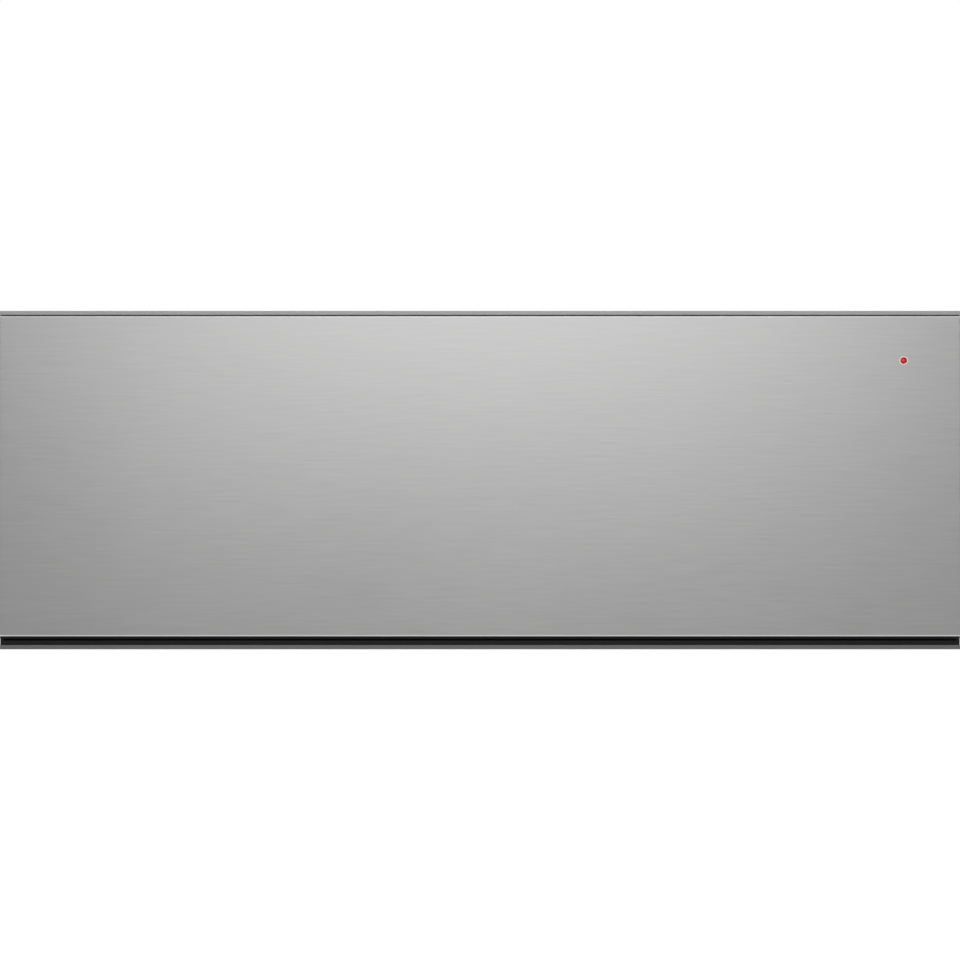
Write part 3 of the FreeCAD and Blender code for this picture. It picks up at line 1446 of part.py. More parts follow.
def console_cap():
    """Cap over the console, holed for the knob's shaft, with a lip into the tub."""
    body = new_body("console_cap")
    plate = new_sketch(body, "XY", "rim_level")
    lip_front = "tub_front_y + cap_play"
    deep = ("front_back_y", f"{lip_front} + cap_sheet")
    rectangle(plate, ("-tub_side_x", "tub_side_x"), deep)
    pad(body, plate, "cap_sheet", 1)
    lip = new_sketch(body, "XY", "rim_level")
    rectangle(
        lip,
        ("cap_sheet - tub_inner_x", "tub_inner_x - cap_sheet"),
        (lip_front, f"{lip_front} + cap_sheet"),
    )
    pad(body, lip, "rim_width", -1)
    hole = new_sketch(body, "XY", "rim_level")
    circle(hole, "knob_x", "knob_y", "neck_radius + hole_clearance")
    pocket(body, hole, "cap_sheet", 1)
    return body


def scale_plate():
    """Dark plate round the knob that carries the temperature scale."""
    body = new_body("scale_plate")
    plate = new_sketch(body, "XY", "cap_top_z", ("knob_x", "knob_y"))
    half_long, half_deep = "scale_plate_length / 2", "scale_plate_depth / 2"
    rectangle(plate, (f"0 - {half_long}", half_long), (f"0 - {half_deep}", half_deep))
    pad(body, plate, "scale_plate_thickness", 1)
    fillet(body, "scale_plate_corner", lambda edge: runs_along(edge, Vector(0, 0, 1)))
    hole = new_sketch(body, "XY", "cap_top_z", ("knob_x", "knob_y"))
    circle(hole, "0", "0", "neck_radius + hole_clearance")
    pocket(body, hole, "scale_plate_thickness", 1)
    return body


def rotary_switch():
    """Switch under the console cap, with a threaded neck round the shaft."""
    body = new_body("rotary_switch")
    centre = ("knob_x", "knob_y")
    case = new_sketch(body, "XY", "rim_level", centre)
    half = "switch_size / 2"
    rectangle(case, (f"0 - {half}", half), (f"0 - {half}", half))
    pad(body, case, "switch_height", -1)
    neck = new_sketch(body, "XY", "rim_level", centre)
    circle(neck, "0", "0", "neck_radius")
    pad(body, neck, "scale_top_z - rim_level", 1)
    bore = new_sketch(body, "XY", "scale_top_z", centre)
    circle(bore, "0", "0", "shaft_radius + shaft_clearance")
    pocket(body, bore, "scale_top_z - rim_level + switch_height - switch_floor", -1)
    tabs = new_sketch(body, "XY", "rim_level - switch_height", centre)
    for n in (-1.5, -0.5, 0.5, 1.5):
        middle = f"{n} * tab_width * 1.2"
        reach = (f"{middle} - tab_width / 2", f"{middle} + tab_width / 2")
        rectangle(tabs, reach, ("-tab_sheet / 2", "tab_sheet / 2"))
    pad(body, tabs, "tab_width * 1.3", -1)
    return body


def knob_shaft():
    """Shaft that the knob turns in the switch."""
    return rod(
        "knob_shaft",
        "Z",
        "shaft_radius",
        "rim_level - switch_height + switch_floor + knob_gap",
        "knob_top_z - knob_wall",
        ("knob_x", "knob_y"),
    )


def temperature_knob():
    """Knob with a ribbed rim, hollow below round a socket for the shaft."""
    inner = "knob_radius - knob_wall"
    body = turned(
        "temperature_knob",
        "Z",
        ("knob_x", "knob_y"),
        [
            ("knob_top_z - knob_wall", "0"),
            ("knob_top_z - knob_wall", "shaft_radius"),
            ("knob_under_z", "shaft_radius"),
            ("knob_under_z", "shaft_radius + knob_wall"),
            ("knob_top_z - knob_wall", "shaft_radius + knob_wall"),
            ("knob_top_z - knob_wall", inner),
            ("knob_under_z", inner),
            ("knob_under_z", "knob_radius"),
            ("knob_top_z - knob_wall / 2", "knob_radius - knob_wall / 5"),
            ("knob_top_z", "knob_radius - knob_wall * 0.7"),
            ("knob_top_z", "0"),
        ],
    )
    groove = new_sketch(body, "XY", "knob_under_z", ("knob_x", "knob_y"))
    circle(groove, "knob_radius + knob_wall / 6", "0", "knob_wall * 0.4")
    rib = pocket(body, groove, "knob_height", 1)
    polar_pattern(body, rib, groove, "knob_ribs")
    return body


def glass_floor():
    """Toughened glass plate on the floor of the tub."""
    body = new_body("glass_floor")
    plate = new_sketch(body, "XY", "glass_under_z")
    rectangle(
        plate,
        ("glass_margin - tub_inner_x", "tub_inner_x - glass_margin"),
        ("tub_front_y + glass_margin", "tub_back_y - glass_margin"),
    )
    pad(body, plate, "glass_thickness", 1)
    fillet(body, "glass_corner", lambda edge: runs_along(edge, Vector(0, 0, 1)))
    return body


def glass_seal():
    """Silicone frame that beds the glass and fills the joint round it."""
    edge = "glass_margin - seal_edge"
    inner = "glass_margin + seal_width"
    frame = block(
        "seal_blank",
        (f"{edge} - tub_inner_x", f"tub_inner_x - ({edge})"),
        (f"tub_front_y + {edge}", f"tub_back_y - ({edge})"),
        ("floor_top_z", "glass_top_z - seal_drop"),
    )
    window = block(
        "seal_window",
        (f"{inner} - tub_inner_x", f"tub_inner_x - ({inner})"),
        (f"tub_front_y + {inner}", f"tub_back_y - ({inner})"),
        ("floor_level", "glass_top_z"),
    )
    seat = block(
        "seal_seat",
        ("glass_margin - tub_inner_x", "tub_inner_x - glass_margin"),
        ("tub_front_y + glass_margin", "tub_back_y - glass_margin"),
        ("glass_under_z", "glass_top_z"),
    )
    return cut("glass_seal", frame, [fuse("seal_hollow", [window, seat])])


def heat_plate():
    """Aluminium plate that spreads the heat under the tub floor."""
    return block(
        "heat_spreader_plate",
        ("heat_plate_margin - tub_inner_x", "tub_inner_x - heat_plate_margin"),
        ("tub_front_y + heat_plate_margin", "tub_back_y - heat_plate_margin"),
        ("heat_plate_z", "floor_level"),
    )


def heating_element():
    """Sheathed element laid in level runs joined by half-circle bends."""
    level, radius = value("element_z"), value("element_diameter / 2")
    pitch, runs = value("element_pitch"), int(value("element_runs"))
    half = value("tub_inner_x - heat_plate_margin - element_margin") - pitch / 2
    first_y = value("element_first_y")
    edges = []
    for n in range(runs):
        y = first_y + n * pitch
        side = 1 if n % 2 == 0 else -1
        start, end = Vector(-side * half, y, level), Vector(side * half, y, level)
        edges.append(Part.LineSegment(start, end).toShape())
        if n < runs - 1:
            bend = Vector(side * (half + pitch / 2), y + pitch / 2, level)
            following = Vector(side * half, y + pitch, level)
            edges.append(Part.Arc(end, bend, following).toShape())
    path = Part.Wire(edges)
    section = Part.Wire(
        Part.Circle(Vector(-half, first_y, level), Vector(1, 0, 0), radius).toShape()
    )
    element = doc.addObject("Part::Feature", "heating_element")
    element.Label = "heating_element"
    element.Shape = path.makePipeShell([section], True, True)
    return element


def element_clip(run, side, middle):
    """One saddle over a run of the element, with a foot on each side of it."""
    y = f"element_first_y + {run} * element_pitch"
    reach = (f"{middle} - clip_width / 2", f"{middle} + clip_width / 2")
    name = f"{run}_{side}"

    def saddle(part, radius):
        """Half-round channel with straight sides up to the heat plate."""
        bow = rod(f"clip_{part}_bow_{name}", "X", radius, *reach, (y, "element_z"))
        across = (f"{y} - ({radius})", f"{y} + {radius}")
        sides = block(f"clip_{part}_sides_{name}", reach, across, ("element_z", "heat_plate_z"))
        return fuse(f"clip_{part}_{name}", [bow, sides])

    outer = "element_diameter / 2 + clip_sheet"
    shell = saddle("shell", outer)
    feet = block(
        f"clip_feet_{name}",
        reach,
        (f"{y} - ({outer}) - clip_foot", f"{y} + {outer} + clip_foot"),
        ("heat_plate_z - clip_sheet", "heat_plate_z"),
    )
    room = saddle("room", "element_diameter / 2")
    above = block(
        f"clip_above_{name}",
        reach,
        (f"{y} - ({outer}) - clip_foot", f"{y} + {outer} + clip_foot"),
        ("heat_plate_z", "heat_plate_z + element_diameter"),
    )
    blank = fuse(f"clip_blank_{name}", [shell, feet])
    return cut(f"element_clip_{name}", blank, [fuse(f"clip_removed_{name}", [room, above])])


def element_clips():
    """Saddles that hold the runs of the element to the heat plate, two on each run."""
    return group(
        "element_clips",
        [
            element_clip(run, side, middle)
            for run in range(int(value("element_runs")))
            for side, middle in (("left", "-clip_spread"), ("right", "clip_spread"))
        ],
    )


def heater_wool():
    """Mineral wool under the heating element, with a pocket for the thermal cut-out."""
    mat = block(
        "heater_wool_blank",
        ("tub_sheet + wool_margin - tub_inner_x", "tub_inner_x - tub_sheet - wool_margin"),
        ("console_back_y + wool_margin", "tub_back_y - wool_margin"),
        ("tray_top_z", "wool_top_z"),
    )
    pocket_tool = rod(
        "heater_wool_pocket",
        "Z",
        "cutout_radius + wool_margin / 2",
        "heat_plate_z - cutout_height - wool_margin / 2",
        "floor_level",
        ("0", "tub_middle_y"),
    )
    return cut("heater_insulation_mat", mat, [pocket_tool])


def bottom_tray():
    """Tray that closes the drawer from below."""
    return block(
        "drawer_bottom_tray",
        ("-tub_side_x", "tub_side_x"),
        ("front_back_y", "wall_back_y"),
        ("tray_level", "tray_top_z"),
    )


def thermal_cutout():
    """Disc thermostat pressed against the heat plate."""
    neck = "cutout_radius * 0.8"
    return turned(
        "thermal_cutout",
        "Z",
        ("0", "tub_middle_y"),
        [
            ("heat_plate_z", "0"),
            ("heat_plate_z", "cutout_radius"),
            ("heat_plate_z - cutout_height / 2", "cutout_radius"),
            ("heat_plate_z - cutout_height / 2", neck),
            ("heat_plate_z - cutout_height", neck),
            ("heat_plate_z - cutout_height", "0"),
        ],
    )


def front_brackets():
    """Angles that join the tub sides to the front."""
    body = new_body("front_bracket")
    section = new_sketch(body, "XY", "bracket_low_z")
    wall, edge = "tub_inner_x - bracket_sheet", "tub_inner_x - bracket_width"
    end = "console_back_y - bracket_width / 5"
    polygon(
        section,
        [
            ("tub_inner_x", "front_back_y"),
            ("tub_inner_x", end),
            (wall, end),
            (wall, "front_back_y + bracket_sheet"),
            (edge, "front_back_y + bracket_sheet"),
            (edge, "front_back_y"),
        ],
    )
    pad(body, section, "bracket_high_z - bracket_low_z", 1)
    holes = new_sketch(body, "XZ", "front_back_y")
    for x, z in bracket_screw_spots():
        circle(holes, x, z, SCREW_HOLE)
    pocket(body, holes, "bracket_sheet", 1)
    return both_sides("front_brackets", body)


def striker_plates():
    """Steel plates on the back of the tub that the latch plungers meet."""
    half = "striker_size / 2"
    plate = block(
        "striker_plate",
        (f"latch_spread - {half}", f"latch_spread + {half}"),
        ("wall_back_y", "striker_y"),
        (f"latch_level - {half}", f"latch_level + {half}"),
    )
    return both_sides("striker_plates", plate)


# ---------------------------------------------------------------------------- the fan
def fan_shroud():
    """Round shroud on the back of the tub, with outlets left and right."""
    wall, back = "shroud_radius - shroud_sheet", "shroud_back_y - shroud_sheet"
    boss = "fan_shaft_radius + fan_gap"
    body = turned(
        "fan_shroud",
        "Y",
        ("0", "fan_level"),
        [
            ("wall_back_y", wall),
            ("wall_back_y", "shroud_radius + shroud_flange"),
            ("wall_back_y + shroud_sheet", "shroud_radius + shroud_flange"),
            ("wall_back_y + shroud_sheet", "shroud_radius"),
            ("shroud_back_y", "shroud_radius"),
            ("shroud_back_y", boss),
            (back, boss),
            (back, wall),
        ],
    )
    outlets = new_sketch(body, "YZ", "0", ("0", "fan_level"))
    rectangle(
        outlets,
        ("wall_back_y + shroud_sheet + fan_gap", f"{back} - fan_gap"),
        ("-shroud_radius * 0.3", "shroud_radius * 0.3"),
    )
    pocket_through(body, outlets)
    shroud_screw_holes(body, "wall_back_y", "shroud_sheet")
    return body


def fan_wheel():
    """Radial fan wheel: hub, disc and a ring of blades."""
    body = new_body("fan_wheel")
    centre = ("0", "fan_level")
    disc = new_sketch(body, "XZ", "wheel_back_y", centre)
    circle(disc, "0", "0", "fan_radius")
    pad(body, disc, "blade_sheet", -1)
    hub = new_sketch(body, "XZ", "wheel_back_y", centre)
    circle(hub, "0", "0", "fan_shaft_radius * 3")
    pad(body, hub, "fan_height", -1)
    blade = new_sketch(body, "XZ", "wheel_back_y - blade_sheet / 2", centre)
    rectangle(
        blade,
        ("fan_radius - blade_depth", "fan_radius - blade_sheet / 2"),
        ("-blade_sheet / 2", "blade_sheet / 2"),
    )
    wing = pad(body, blade, "fan_height - blade_sheet / 2", -1)
    polar_pattern(body, wing, blade, "fan_blades")
    bore = new_sketch(body, "XZ", "wheel_back_y", centre)
    circle(bore, "0", "0", "fan_shaft_radius")
    pocket(body, bore, "fan_height", -1)
    return body


def fan_shaft():
    """Rotor shaft from the motor into the hub of the wheel."""
    return rod(
        "fan_shaft",
        "Y",
        "fan_shaft_radius",
        "wheel_back_y - fan_height * 0.85",
        "shroud_back_y + motor_depth - motor_cap",
        ("0", "fan_level"),
    )


def fan_motor():
    """Shaded-pole motor on the back of the shroud, bored for its shaft."""
    bore = "fan_shaft_radius + shaft_clearance"
    end = "shroud_back_y + motor_depth"
    bore_end = f"{end} - motor_cap + fan_shaft_radius / 5"
    return turned(
        "fan_motor",
        "Y",
        ("0", "fan_level"),
        [
            ("shroud_back_y", bore),
            ("shroud_back_y", "motor_radius * 0.72"),
            ("shroud_back_y + fan_gap", "motor_radius * 0.72"),
            ("shroud_back_y + fan_gap", "motor_radius"),
            (f"{end} - 2 * motor_cap", "motor_radius"),
            (f"{end} - 2 * motor_cap", "motor_radius * 0.6"),
            (end, "motor_radius / 2"),
            (end, "0"),
            (bore_end, "0"),
            (bore_end, bore),
        ],
    )


# ------------------------------------------------------------------------- fasteners
def screw_master():
    """Pan-head screw along +Z: the head's underside is at z = 0, with a cross recess."""
    body = turned(
        "screw_master",
        "Z",
        ("0", "0"),
        [
            ("0 - screw_length", "0"),
            ("0 - screw_length", "screw_radius / 2"),
            ("screw_radius / 2 - screw_length", "screw_radius"),
            ("0", "screw_radius"),
            ("0", "screw_head_radius"),
            ("screw_head_height * 0.55", "screw_head_radius"),
            ("screw_head_height * 0.9", "screw_head_radius * 0.72"),
            ("screw_head_height", "screw_head_radius * 0.4"),
            ("screw_head_height", "0"),
        ],
    )
    for along_x in (True, False):
        arm = new_sketch(body, "XY", "screw_head_height")
        long = ("-screw_head_radius * 0.55", "screw_head_radius * 0.55")
        short = ("-screw_head_radius * 0.12", "screw_head_radius * 0.12")
        rectangle(arm, long if along_x else short, short if along_x else long)
        pocket(body, arm, "screw_head_height / 2", -1)
    return body


def rivet_master(label, grip):
    """Rivet along +Z: flat head above z = 0, shank as long as the sheets it joins."""
    return turned(
        label,
        "Z",
        ("0", "0"),
        [
            (f"0 - ({grip})", "0"),
            (f"0 - ({grip})", "rivet_radius"),
            ("0", "rivet_radius"),
            ("0", "rivet_head_radius"),
            ("rivet_head_height * 0.5", "rivet_head_radius"),
            ("rivet_head_height", "rivet_head_radius * 0.7"),
            ("rivet_head_height", "0"),
        ],
    )


def facing(x, y, z):
    """Rotation that turns a master's +Z towards a direction."""
    return Rotation(Vector(0, 0, 1), Vector(x, y, z))


def fasteners():
    """Every group of screws and rivets."""
    screw = screw_master()
    rail_rivet = rivet_master("rail_rivet_master", "housing_sheet + rail_sheet")
    tub_rivet = rivet_master("tub_rivet_master", "tub_sheet + rail_sheet")
    trim_rivet = rivet_master("trim_rivet_master", "trim_leg + cover_sheet")

    panel = [(y, z) for y in PANEL_SCREW_Y for z in (COVER_SCREW_Z, BASE_SCREW_Z)]
    panel += [(BACK_SCREW_Y, z) for z in BACK_SCREW_Z]
    outer = value("side_outer_x")
    housing_spots = [
        (side * outer, value(y), value(z), facing(side, 0, 0)) for side in (1, -1) for y, z in panel
    ]
    housing_spots += [
        (side * value(x), value("housing_back_y"), value("latch_level"), facing(0, 1, 0))
        for side in (1, -1)
        for x in LATCH_SCREW_X
    ]
    rail_spots = [
        (side * outer, value(y), value("rail_level"), facing(side, 0, 0))
        for side in (1, -1)
        for y in RAIL_RIVET_Y
    ]
    tub_spots = [
        (side * value("tub_inner_x"), value(y), value("rail_level"), facing(-side, 0, 0))
        for side in (1, -1)
        for y in RAIL_RIVET_Y
    ]
    trim_spots = [
        (value(x), value("flange_y - trim_leg"), value("trim_rivet_z"), facing(0, -1, 0))
        for x in TRIM_RIVET_X
    ]
    bracket_spots = [
        (side * value(x), value("front_back_y + bracket_sheet"), value(z), facing(0, 1, 0))
        for side in (1, -1)
        for x, z in bracket_screw_spots()
    ]
    shroud_spots = [
        (value(x), value("tub_back_y"), value(f"fan_level + {z}"), facing(0, -1, 0))
        for x, z in SHROUD_SCREWS
    ]
    return [
        placed_copies("housing_screws", screw, housing_spots),
        group(
            "housing_rivets",
            [
                placed_copies("rail_rivets", rail_rivet, rail_spots),
                placed_copies("trim_rivets", trim_rivet, trim_spots),
            ],
        ),
        placed_copies("drawer_rivets", tub_rivet, tub_spots),
        placed_copies("drawer_screws", screw, bracket_spots + shroud_spots),
    ]


# ------------------------------------------------------------------------ the assembly
def with_left_twins(parts):
    """Each right-hand sub-part followed by its left-hand twin."""
    twins = []
    for part in parts:
        twins += [part, mirrored(part.Label.replace("right", "left"), part)]
    return twins


sub_parts = [
    base_pan(),
    back_panel(),
    top_cover(),
    heat_shield(),
    top_wool(),
    top_trim(),
    bottom_trim(),
    air_gap_profile(),
    front_bumpers(),
    latch_bodies(),
    latch_plungers(),
    latch_springs(),
    cable_gland(),
    gland_nut(),
    terminal_block(),
    front_panel(),
    front_liner(),
    front_wool(),
    front_lower_strip(),
    indicator_lens(),
    indicator_ring(),
    indicator_lead(),
    tub_floor(),
    tub_back(),
    tub_front(),
    console_cap(),
    scale_plate(),
    rotary_switch(),
    knob_shaft(),
    temperature_knob(),
    glass_floor(),
    glass_seal(),
    heat_plate(),
    heating_element(),
    element_clips(),
    heater_wool(),
    bottom_tray(),
    thermal_cutout(),
    front_brackets(),
    striker_plates(),
    fan_shroud(),
    fan_wheel(),
    fan_shaft(),
    fan_motor(),
]
sub_parts += with_left_twins([side_panel(), tub_side()] + slide_members())
sub_parts += ball_cages()
sub_parts += fasteners()
doc.recompute()

# ------------------------------------------------------------------- checks and export
faults = [
    f"{item.Name}: {item.State}"
    for item in doc.Objects
    if "Invalid" in item.State or "Error" in item.State
]
for part in sub_parts:
    if part.Shape.isNull() or not part.Shape.isValid() or not part.Shape.Solids:
        faults.append(f"{part.Label}: bad shape")
if faults:
    raise SystemExit("\n".join(faults))

os.makedirs("parts", exist_ok=True)
for part in sub_parts:
    part.Shape.exportStep(f"parts/{part.Label}.step")
print(len(sub_parts), "sub-parts written")
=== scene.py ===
"""Looks of a built-in warming drawer: brushed and rolled sheet, mineral wool, pilot lamp, dial.

All lengths are in metres. The front faces -Y, and the housing stands on the floor at height 0.
"""

import json
import math
from typing import NamedTuple

import bpy
import numpy as np
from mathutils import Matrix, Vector


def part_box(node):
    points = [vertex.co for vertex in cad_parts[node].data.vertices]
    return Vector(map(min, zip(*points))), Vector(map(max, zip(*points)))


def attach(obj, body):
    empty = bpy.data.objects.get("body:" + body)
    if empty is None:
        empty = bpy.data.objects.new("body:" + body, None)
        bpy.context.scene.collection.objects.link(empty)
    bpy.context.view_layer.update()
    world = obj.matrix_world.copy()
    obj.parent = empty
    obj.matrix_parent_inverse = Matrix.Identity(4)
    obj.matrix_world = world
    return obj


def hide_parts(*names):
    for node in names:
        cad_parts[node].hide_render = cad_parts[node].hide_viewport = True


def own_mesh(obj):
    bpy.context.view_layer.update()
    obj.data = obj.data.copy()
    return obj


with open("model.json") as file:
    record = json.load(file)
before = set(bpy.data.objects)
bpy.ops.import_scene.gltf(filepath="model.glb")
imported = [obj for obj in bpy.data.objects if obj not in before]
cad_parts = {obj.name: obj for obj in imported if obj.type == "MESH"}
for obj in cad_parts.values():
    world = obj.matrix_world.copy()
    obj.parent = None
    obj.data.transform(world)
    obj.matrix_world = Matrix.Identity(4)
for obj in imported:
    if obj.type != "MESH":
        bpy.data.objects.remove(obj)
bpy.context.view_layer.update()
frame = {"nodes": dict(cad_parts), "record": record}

FRONT_LOW, FRONT_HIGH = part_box("front_panel")
FACE_Y = FRONT_LOW.y


# ------------------------------------------------------------------ node makers
def put(tree, kind, inputs=None, **settings):
    """A shader node with its settings. An input is a number or colour, or a socket to link."""
    made = tree.nodes.new(kind)
    for key, setting in settings.items():
        setattr(made, key, setting)
    for key, source in (inputs or {}).items():
        if isinstance(source, bpy.types.NodeSocket):
            tree.links.new(source, made.inputs[key])
        else:
            made.inputs[key].default_value = source
    return made


def maths(tree, operation, *numbers):
    """The result of one step of arithmetic on numbers."""
    return put(tree, "ShaderNodeMath", dict(enumerate(numbers)), operation=operation).outputs[0]


def vectors(tree, operation, *given):
    """The vector that one step of arithmetic on vectors gives."""
    step = put(tree, "ShaderNodeVectorMath", dict(enumerate(given)), operation=operation)
    return step.outputs[0]


def separated(tree, vector):
    """The X, Y and Z of a vector."""
    return put(tree, "ShaderNodeSeparateXYZ", {"Vector": vector}).outputs


def between(tree, value, start, end, first=0.0, last=1.0):
    """First where the value is at start, last where it is at end, and smooth between."""
    limits = {"From Min": start, "From Max": end, "To Min": first, "To Max": last}
    return put(
        tree, "ShaderNodeMapRange", {"Value": value, **limits}, interpolation_type="SMOOTHSTEP"
    ).outputs["Result"]


def blended(tree, share, first, second):
    """The first colour where the share is 0 and the second where it is 1."""
    return put(
        tree, "ShaderNodeMix", {"Factor": share, "A": first, "B": second}, data_type="RGBA"
    ).outputs["Result"]


def noise(tree, place, scale, detail, roughness=0.5, distortion=0.0):
    """Cloudy noise round one half: as a number, and as a colour."""
    looks = {"Scale": scale, "Detail": detail, "Roughness": roughness, "Distortion": distortion}
    return put(tree, "ShaderNodeTexNoise", {"Vector": place, **looks}).outputs


# ----------------------------------------------------------------------- studio
SENSOR_WIDTH = 36.0  # millimetres
VIEW_DISTANCE = 3.2
AIM_HEIGHT = 0.13313
FILLED_WIDTH = 0.9986  # the share of the front's width that the view holds

WHITE = (1.0, 1.0, 1.0, 1.0)
CAST_STRENGTH = 0.6  # of the light that the world casts on the object
DARK_AHEAD, DARK_FROM, DARK_TO = 0.05, -0.9, 0.15  # what metal sees, by Y of the direction
FLOOR_REACH, FLOOR_DROP = 15.0, 0.0002
FLOOR_TONE = (0.8, 0.8, 0.8, 1.0)
FLOOR_GLOW, FLOOR_MIRRORED = 0.49, 0.67
# name: place, aim, width, height, radiance
LAMPS = {
    "key_light": ((0.011, -1.161, 0.472), (0.0, FACE_Y, 0.14), 0.9, 0.6, 2.29),
    "left_light": ((-2.4, -1.6, 1.5), (0.0, 0.0, 0.1), 1.4, 1.4, 1.3),
    "right_light": ((2.4, -1.6, 1.5), (0.0, 0.0, 0.1), 1.4, 1.4, 1.3),
    "rear_light": ((0.5, 2.2, 1.9), (0.0, 0.0, 0.1), 1.8, 1.4, 1.2),
}


def into_scene(name, data):
    """A new object of that name in the scene."""
    made = bpy.data.objects.new(name, data)
    bpy.context.scene.collection.objects.link(made)
    return made


def front_camera():
    """Level camera straight ahead of the front, which fills the width of its view."""
    data = bpy.data.cameras.new("front_camera")
    data.sensor_width = SENSOR_WIDTH
    view_width = (FRONT_HIGH.x - FRONT_LOW.x) * FILLED_WIDTH
    data.lens = SENSOR_WIDTH * VIEW_DISTANCE / view_width
    camera = into_scene("front_camera", data)
    camera.location = (0.0, FACE_Y - VIEW_DISTANCE, AIM_HEIGHT)
    camera.rotation_euler = (math.pi / 2, 0.0, 0.0)
    bpy.context.scene.camera = camera


def soft_box(name, place, aim, width, height, radiance):
    """Rectangular lamp that faces its aim, as bright as the given radiance all over."""
    data = bpy.data.lights.new(name, "AREA")
    data.shape = "RECTANGLE"
    data.size, data.size_y = width, height
    data.energy = radiance * math.pi * width * height
    lamp = into_scene(name, data)
    lamp.location = place
    lamp.rotation_euler = (Vector(aim) - Vector(place)).to_track_quat("-Z", "Y").to_euler()
    lamp.visible_camera = False


def glowing(tree, kind, strength):
    """White light of that strength, from a background or a surface."""
    return put(tree, kind, {"Color": WHITE, "Strength": strength}).outputs[0]


def mixed(tree, share, first, second):
    """The first shader where the share is 0 and the second where it is 1."""
    return put(tree, "ShaderNodeMixShader", {0: share, 1: first, 2: second}).outputs[0]


def rays(tree):
    """1 for what the eye sees, straight or through glass, and 1 for what gloss mirrors."""
    ray = put(tree, "ShaderNodeLightPath").outputs
    clear = maths(tree, "MAXIMUM", ray["Is Camera Ray"], ray["Is Transmission Ray"])
    return clear, ray["Is Glossy Ray"]


def studio_world():
    """White all round as the eye and glass see it, grey ahead of the front as metal sees it."""
    world = bpy.data.worlds.new("studio")
    bpy.context.scene.world = world
    world.use_nodes = True
    tree = world.node_tree
    tree.nodes.clear()
    clear, mirrored = rays(tree)
    direction = put(tree, "ShaderNodeTexCoord").outputs["Generated"]
    grey = between(tree, separated(tree, direction)["Y"], DARK_FROM, DARK_TO, DARK_AHEAD, 1.0)
    seen = glowing(tree, "ShaderNodeBackground", maths(tree, "MAXIMUM", clear, grey))
    cast = glowing(tree, "ShaderNodeBackground", CAST_STRENGTH)
    shown = mixed(tree, maths(tree, "MAXIMUM", clear, mirrored), cast, seen)
    put(tree, "ShaderNodeOutputWorld", {"Surface": shown})


def studio_floor():
    """Wide pale floor: white to the eye but for the object's shadow, pale grey to metal."""
    mesh = bpy.data.meshes.new("studio_floor")
    corners = [(-1, -1, 0), (1, -1, 0), (1, 1, 0), (-1, 1, 0)]
    mesh.from_pydata((np.array(corners) * FLOOR_REACH).tolist(), [], [(0, 1, 2, 3)])
    floor = into_scene("studio_floor", mesh)
    floor.location.z = -FLOOR_DROP
    finish = bpy.data.materials.new("pale_floor")
    finish.use_nodes = True
    tree = finish.node_tree
    tree.nodes.clear()
    clear, mirrored = rays(tree)
    pale = put(tree, "ShaderNodeBsdfDiffuse", {"Color": FLOOR_TONE}).outputs[0]
    glow = glowing(tree, "ShaderNodeEmission", FLOOR_GLOW)
    to_eye = put(tree, "ShaderNodeAddShader", {0: pale, 1: glow}).outputs[0]
    to_metal = mixed(tree, mirrored, pale, glowing(tree, "ShaderNodeEmission", FLOOR_MIRRORED))
    put(tree, "ShaderNodeOutputMaterial", {"Surface": mixed(tree, clear, to_metal, to_eye)})
    mesh.materials.append(finish)


# --------------------------------------------------------------- shared effects
NOISE_MIDDLE = 0.5
CROSSED_MIDDLE = 0.55  # of the strongest of three noises
SURFACE_INPUTS = (
    ("Position", "NodeSocketVector", (0, 0, 0)),
    ("Scale", "NodeSocketVector", (1, 1, 1)),
    ("Tone", "NodeSocketColor", (0.5, 0.5, 0.5, 1)),
    ("Contrast", "NodeSocketFloat", 0.1),
    ("Gloss", "NodeSocketFloat", 0.4),
    ("Unevenness", "NodeSocketFloat", 0.05),
)
SURFACE_OUTPUTS = (
    ("Color", "NodeSocketColor"),
    ("Roughness", "NodeSocketFloat"),
    ("Height", "NodeSocketFloat"),
)


def effect(name):
    """An empty node group for a surface: its tree, its inputs, and its position times scale."""
    tree = bpy.data.node_groups.new(name, "ShaderNodeTree")
    for label, kind, start in SURFACE_INPUTS:
        socket = tree.interface.new_socket(label, in_out="INPUT", socket_type=kind)
        socket.default_value = start
    for label, kind in SURFACE_OUTPUTS:
        tree.interface.new_socket(label, in_out="OUTPUT", socket_type=kind)
    given = tree.nodes.new("NodeGroupInput").outputs
    return tree, given, vectors(tree, "MULTIPLY", given["Position"], given["Scale"])


def give_out(tree, given, light, dull, height):
    """Colour = tone x (1 + contrast x light), roughness = gloss + unevenness x dull."""
    amount = maths(tree, "MULTIPLY_ADD", light, given["Contrast"], 1.0)
    scaled = {0: given["Tone"], "Scale": amount}
    colour = put(tree, "ShaderNodeVectorMath", scaled, operation="SCALE").outputs[0]
    rough = maths(tree, "MULTIPLY_ADD", dull, given["Unevenness"], given["Gloss"])
    put(tree, "NodeGroupOutput", {"Color": colour, "Roughness": rough, "Height": height})
    return tree


def brushed_grain():
    """Long fine lines along one direction, with broad clouds under them."""
    cloud_scale, cloud_share = 6.0, 0.35
    tree, given, placed = effect("brushed_grain")
    lines = noise(tree, placed, 1.0, 4.0, roughness=0.6)[0]
    clouds = noise(tree, given["Position"], cloud_scale, 2.0)[0]
    fine = maths(tree, "SUBTRACT", lines, NOISE_MIDDLE)
    broad = maths(tree, "SUBTRACT", clouds, NOISE_MIDDLE)
    both = maths(tree, "MULTIPLY_ADD", broad, cloud_share, fine)
    return give_out(tree, given, both, both, lines)


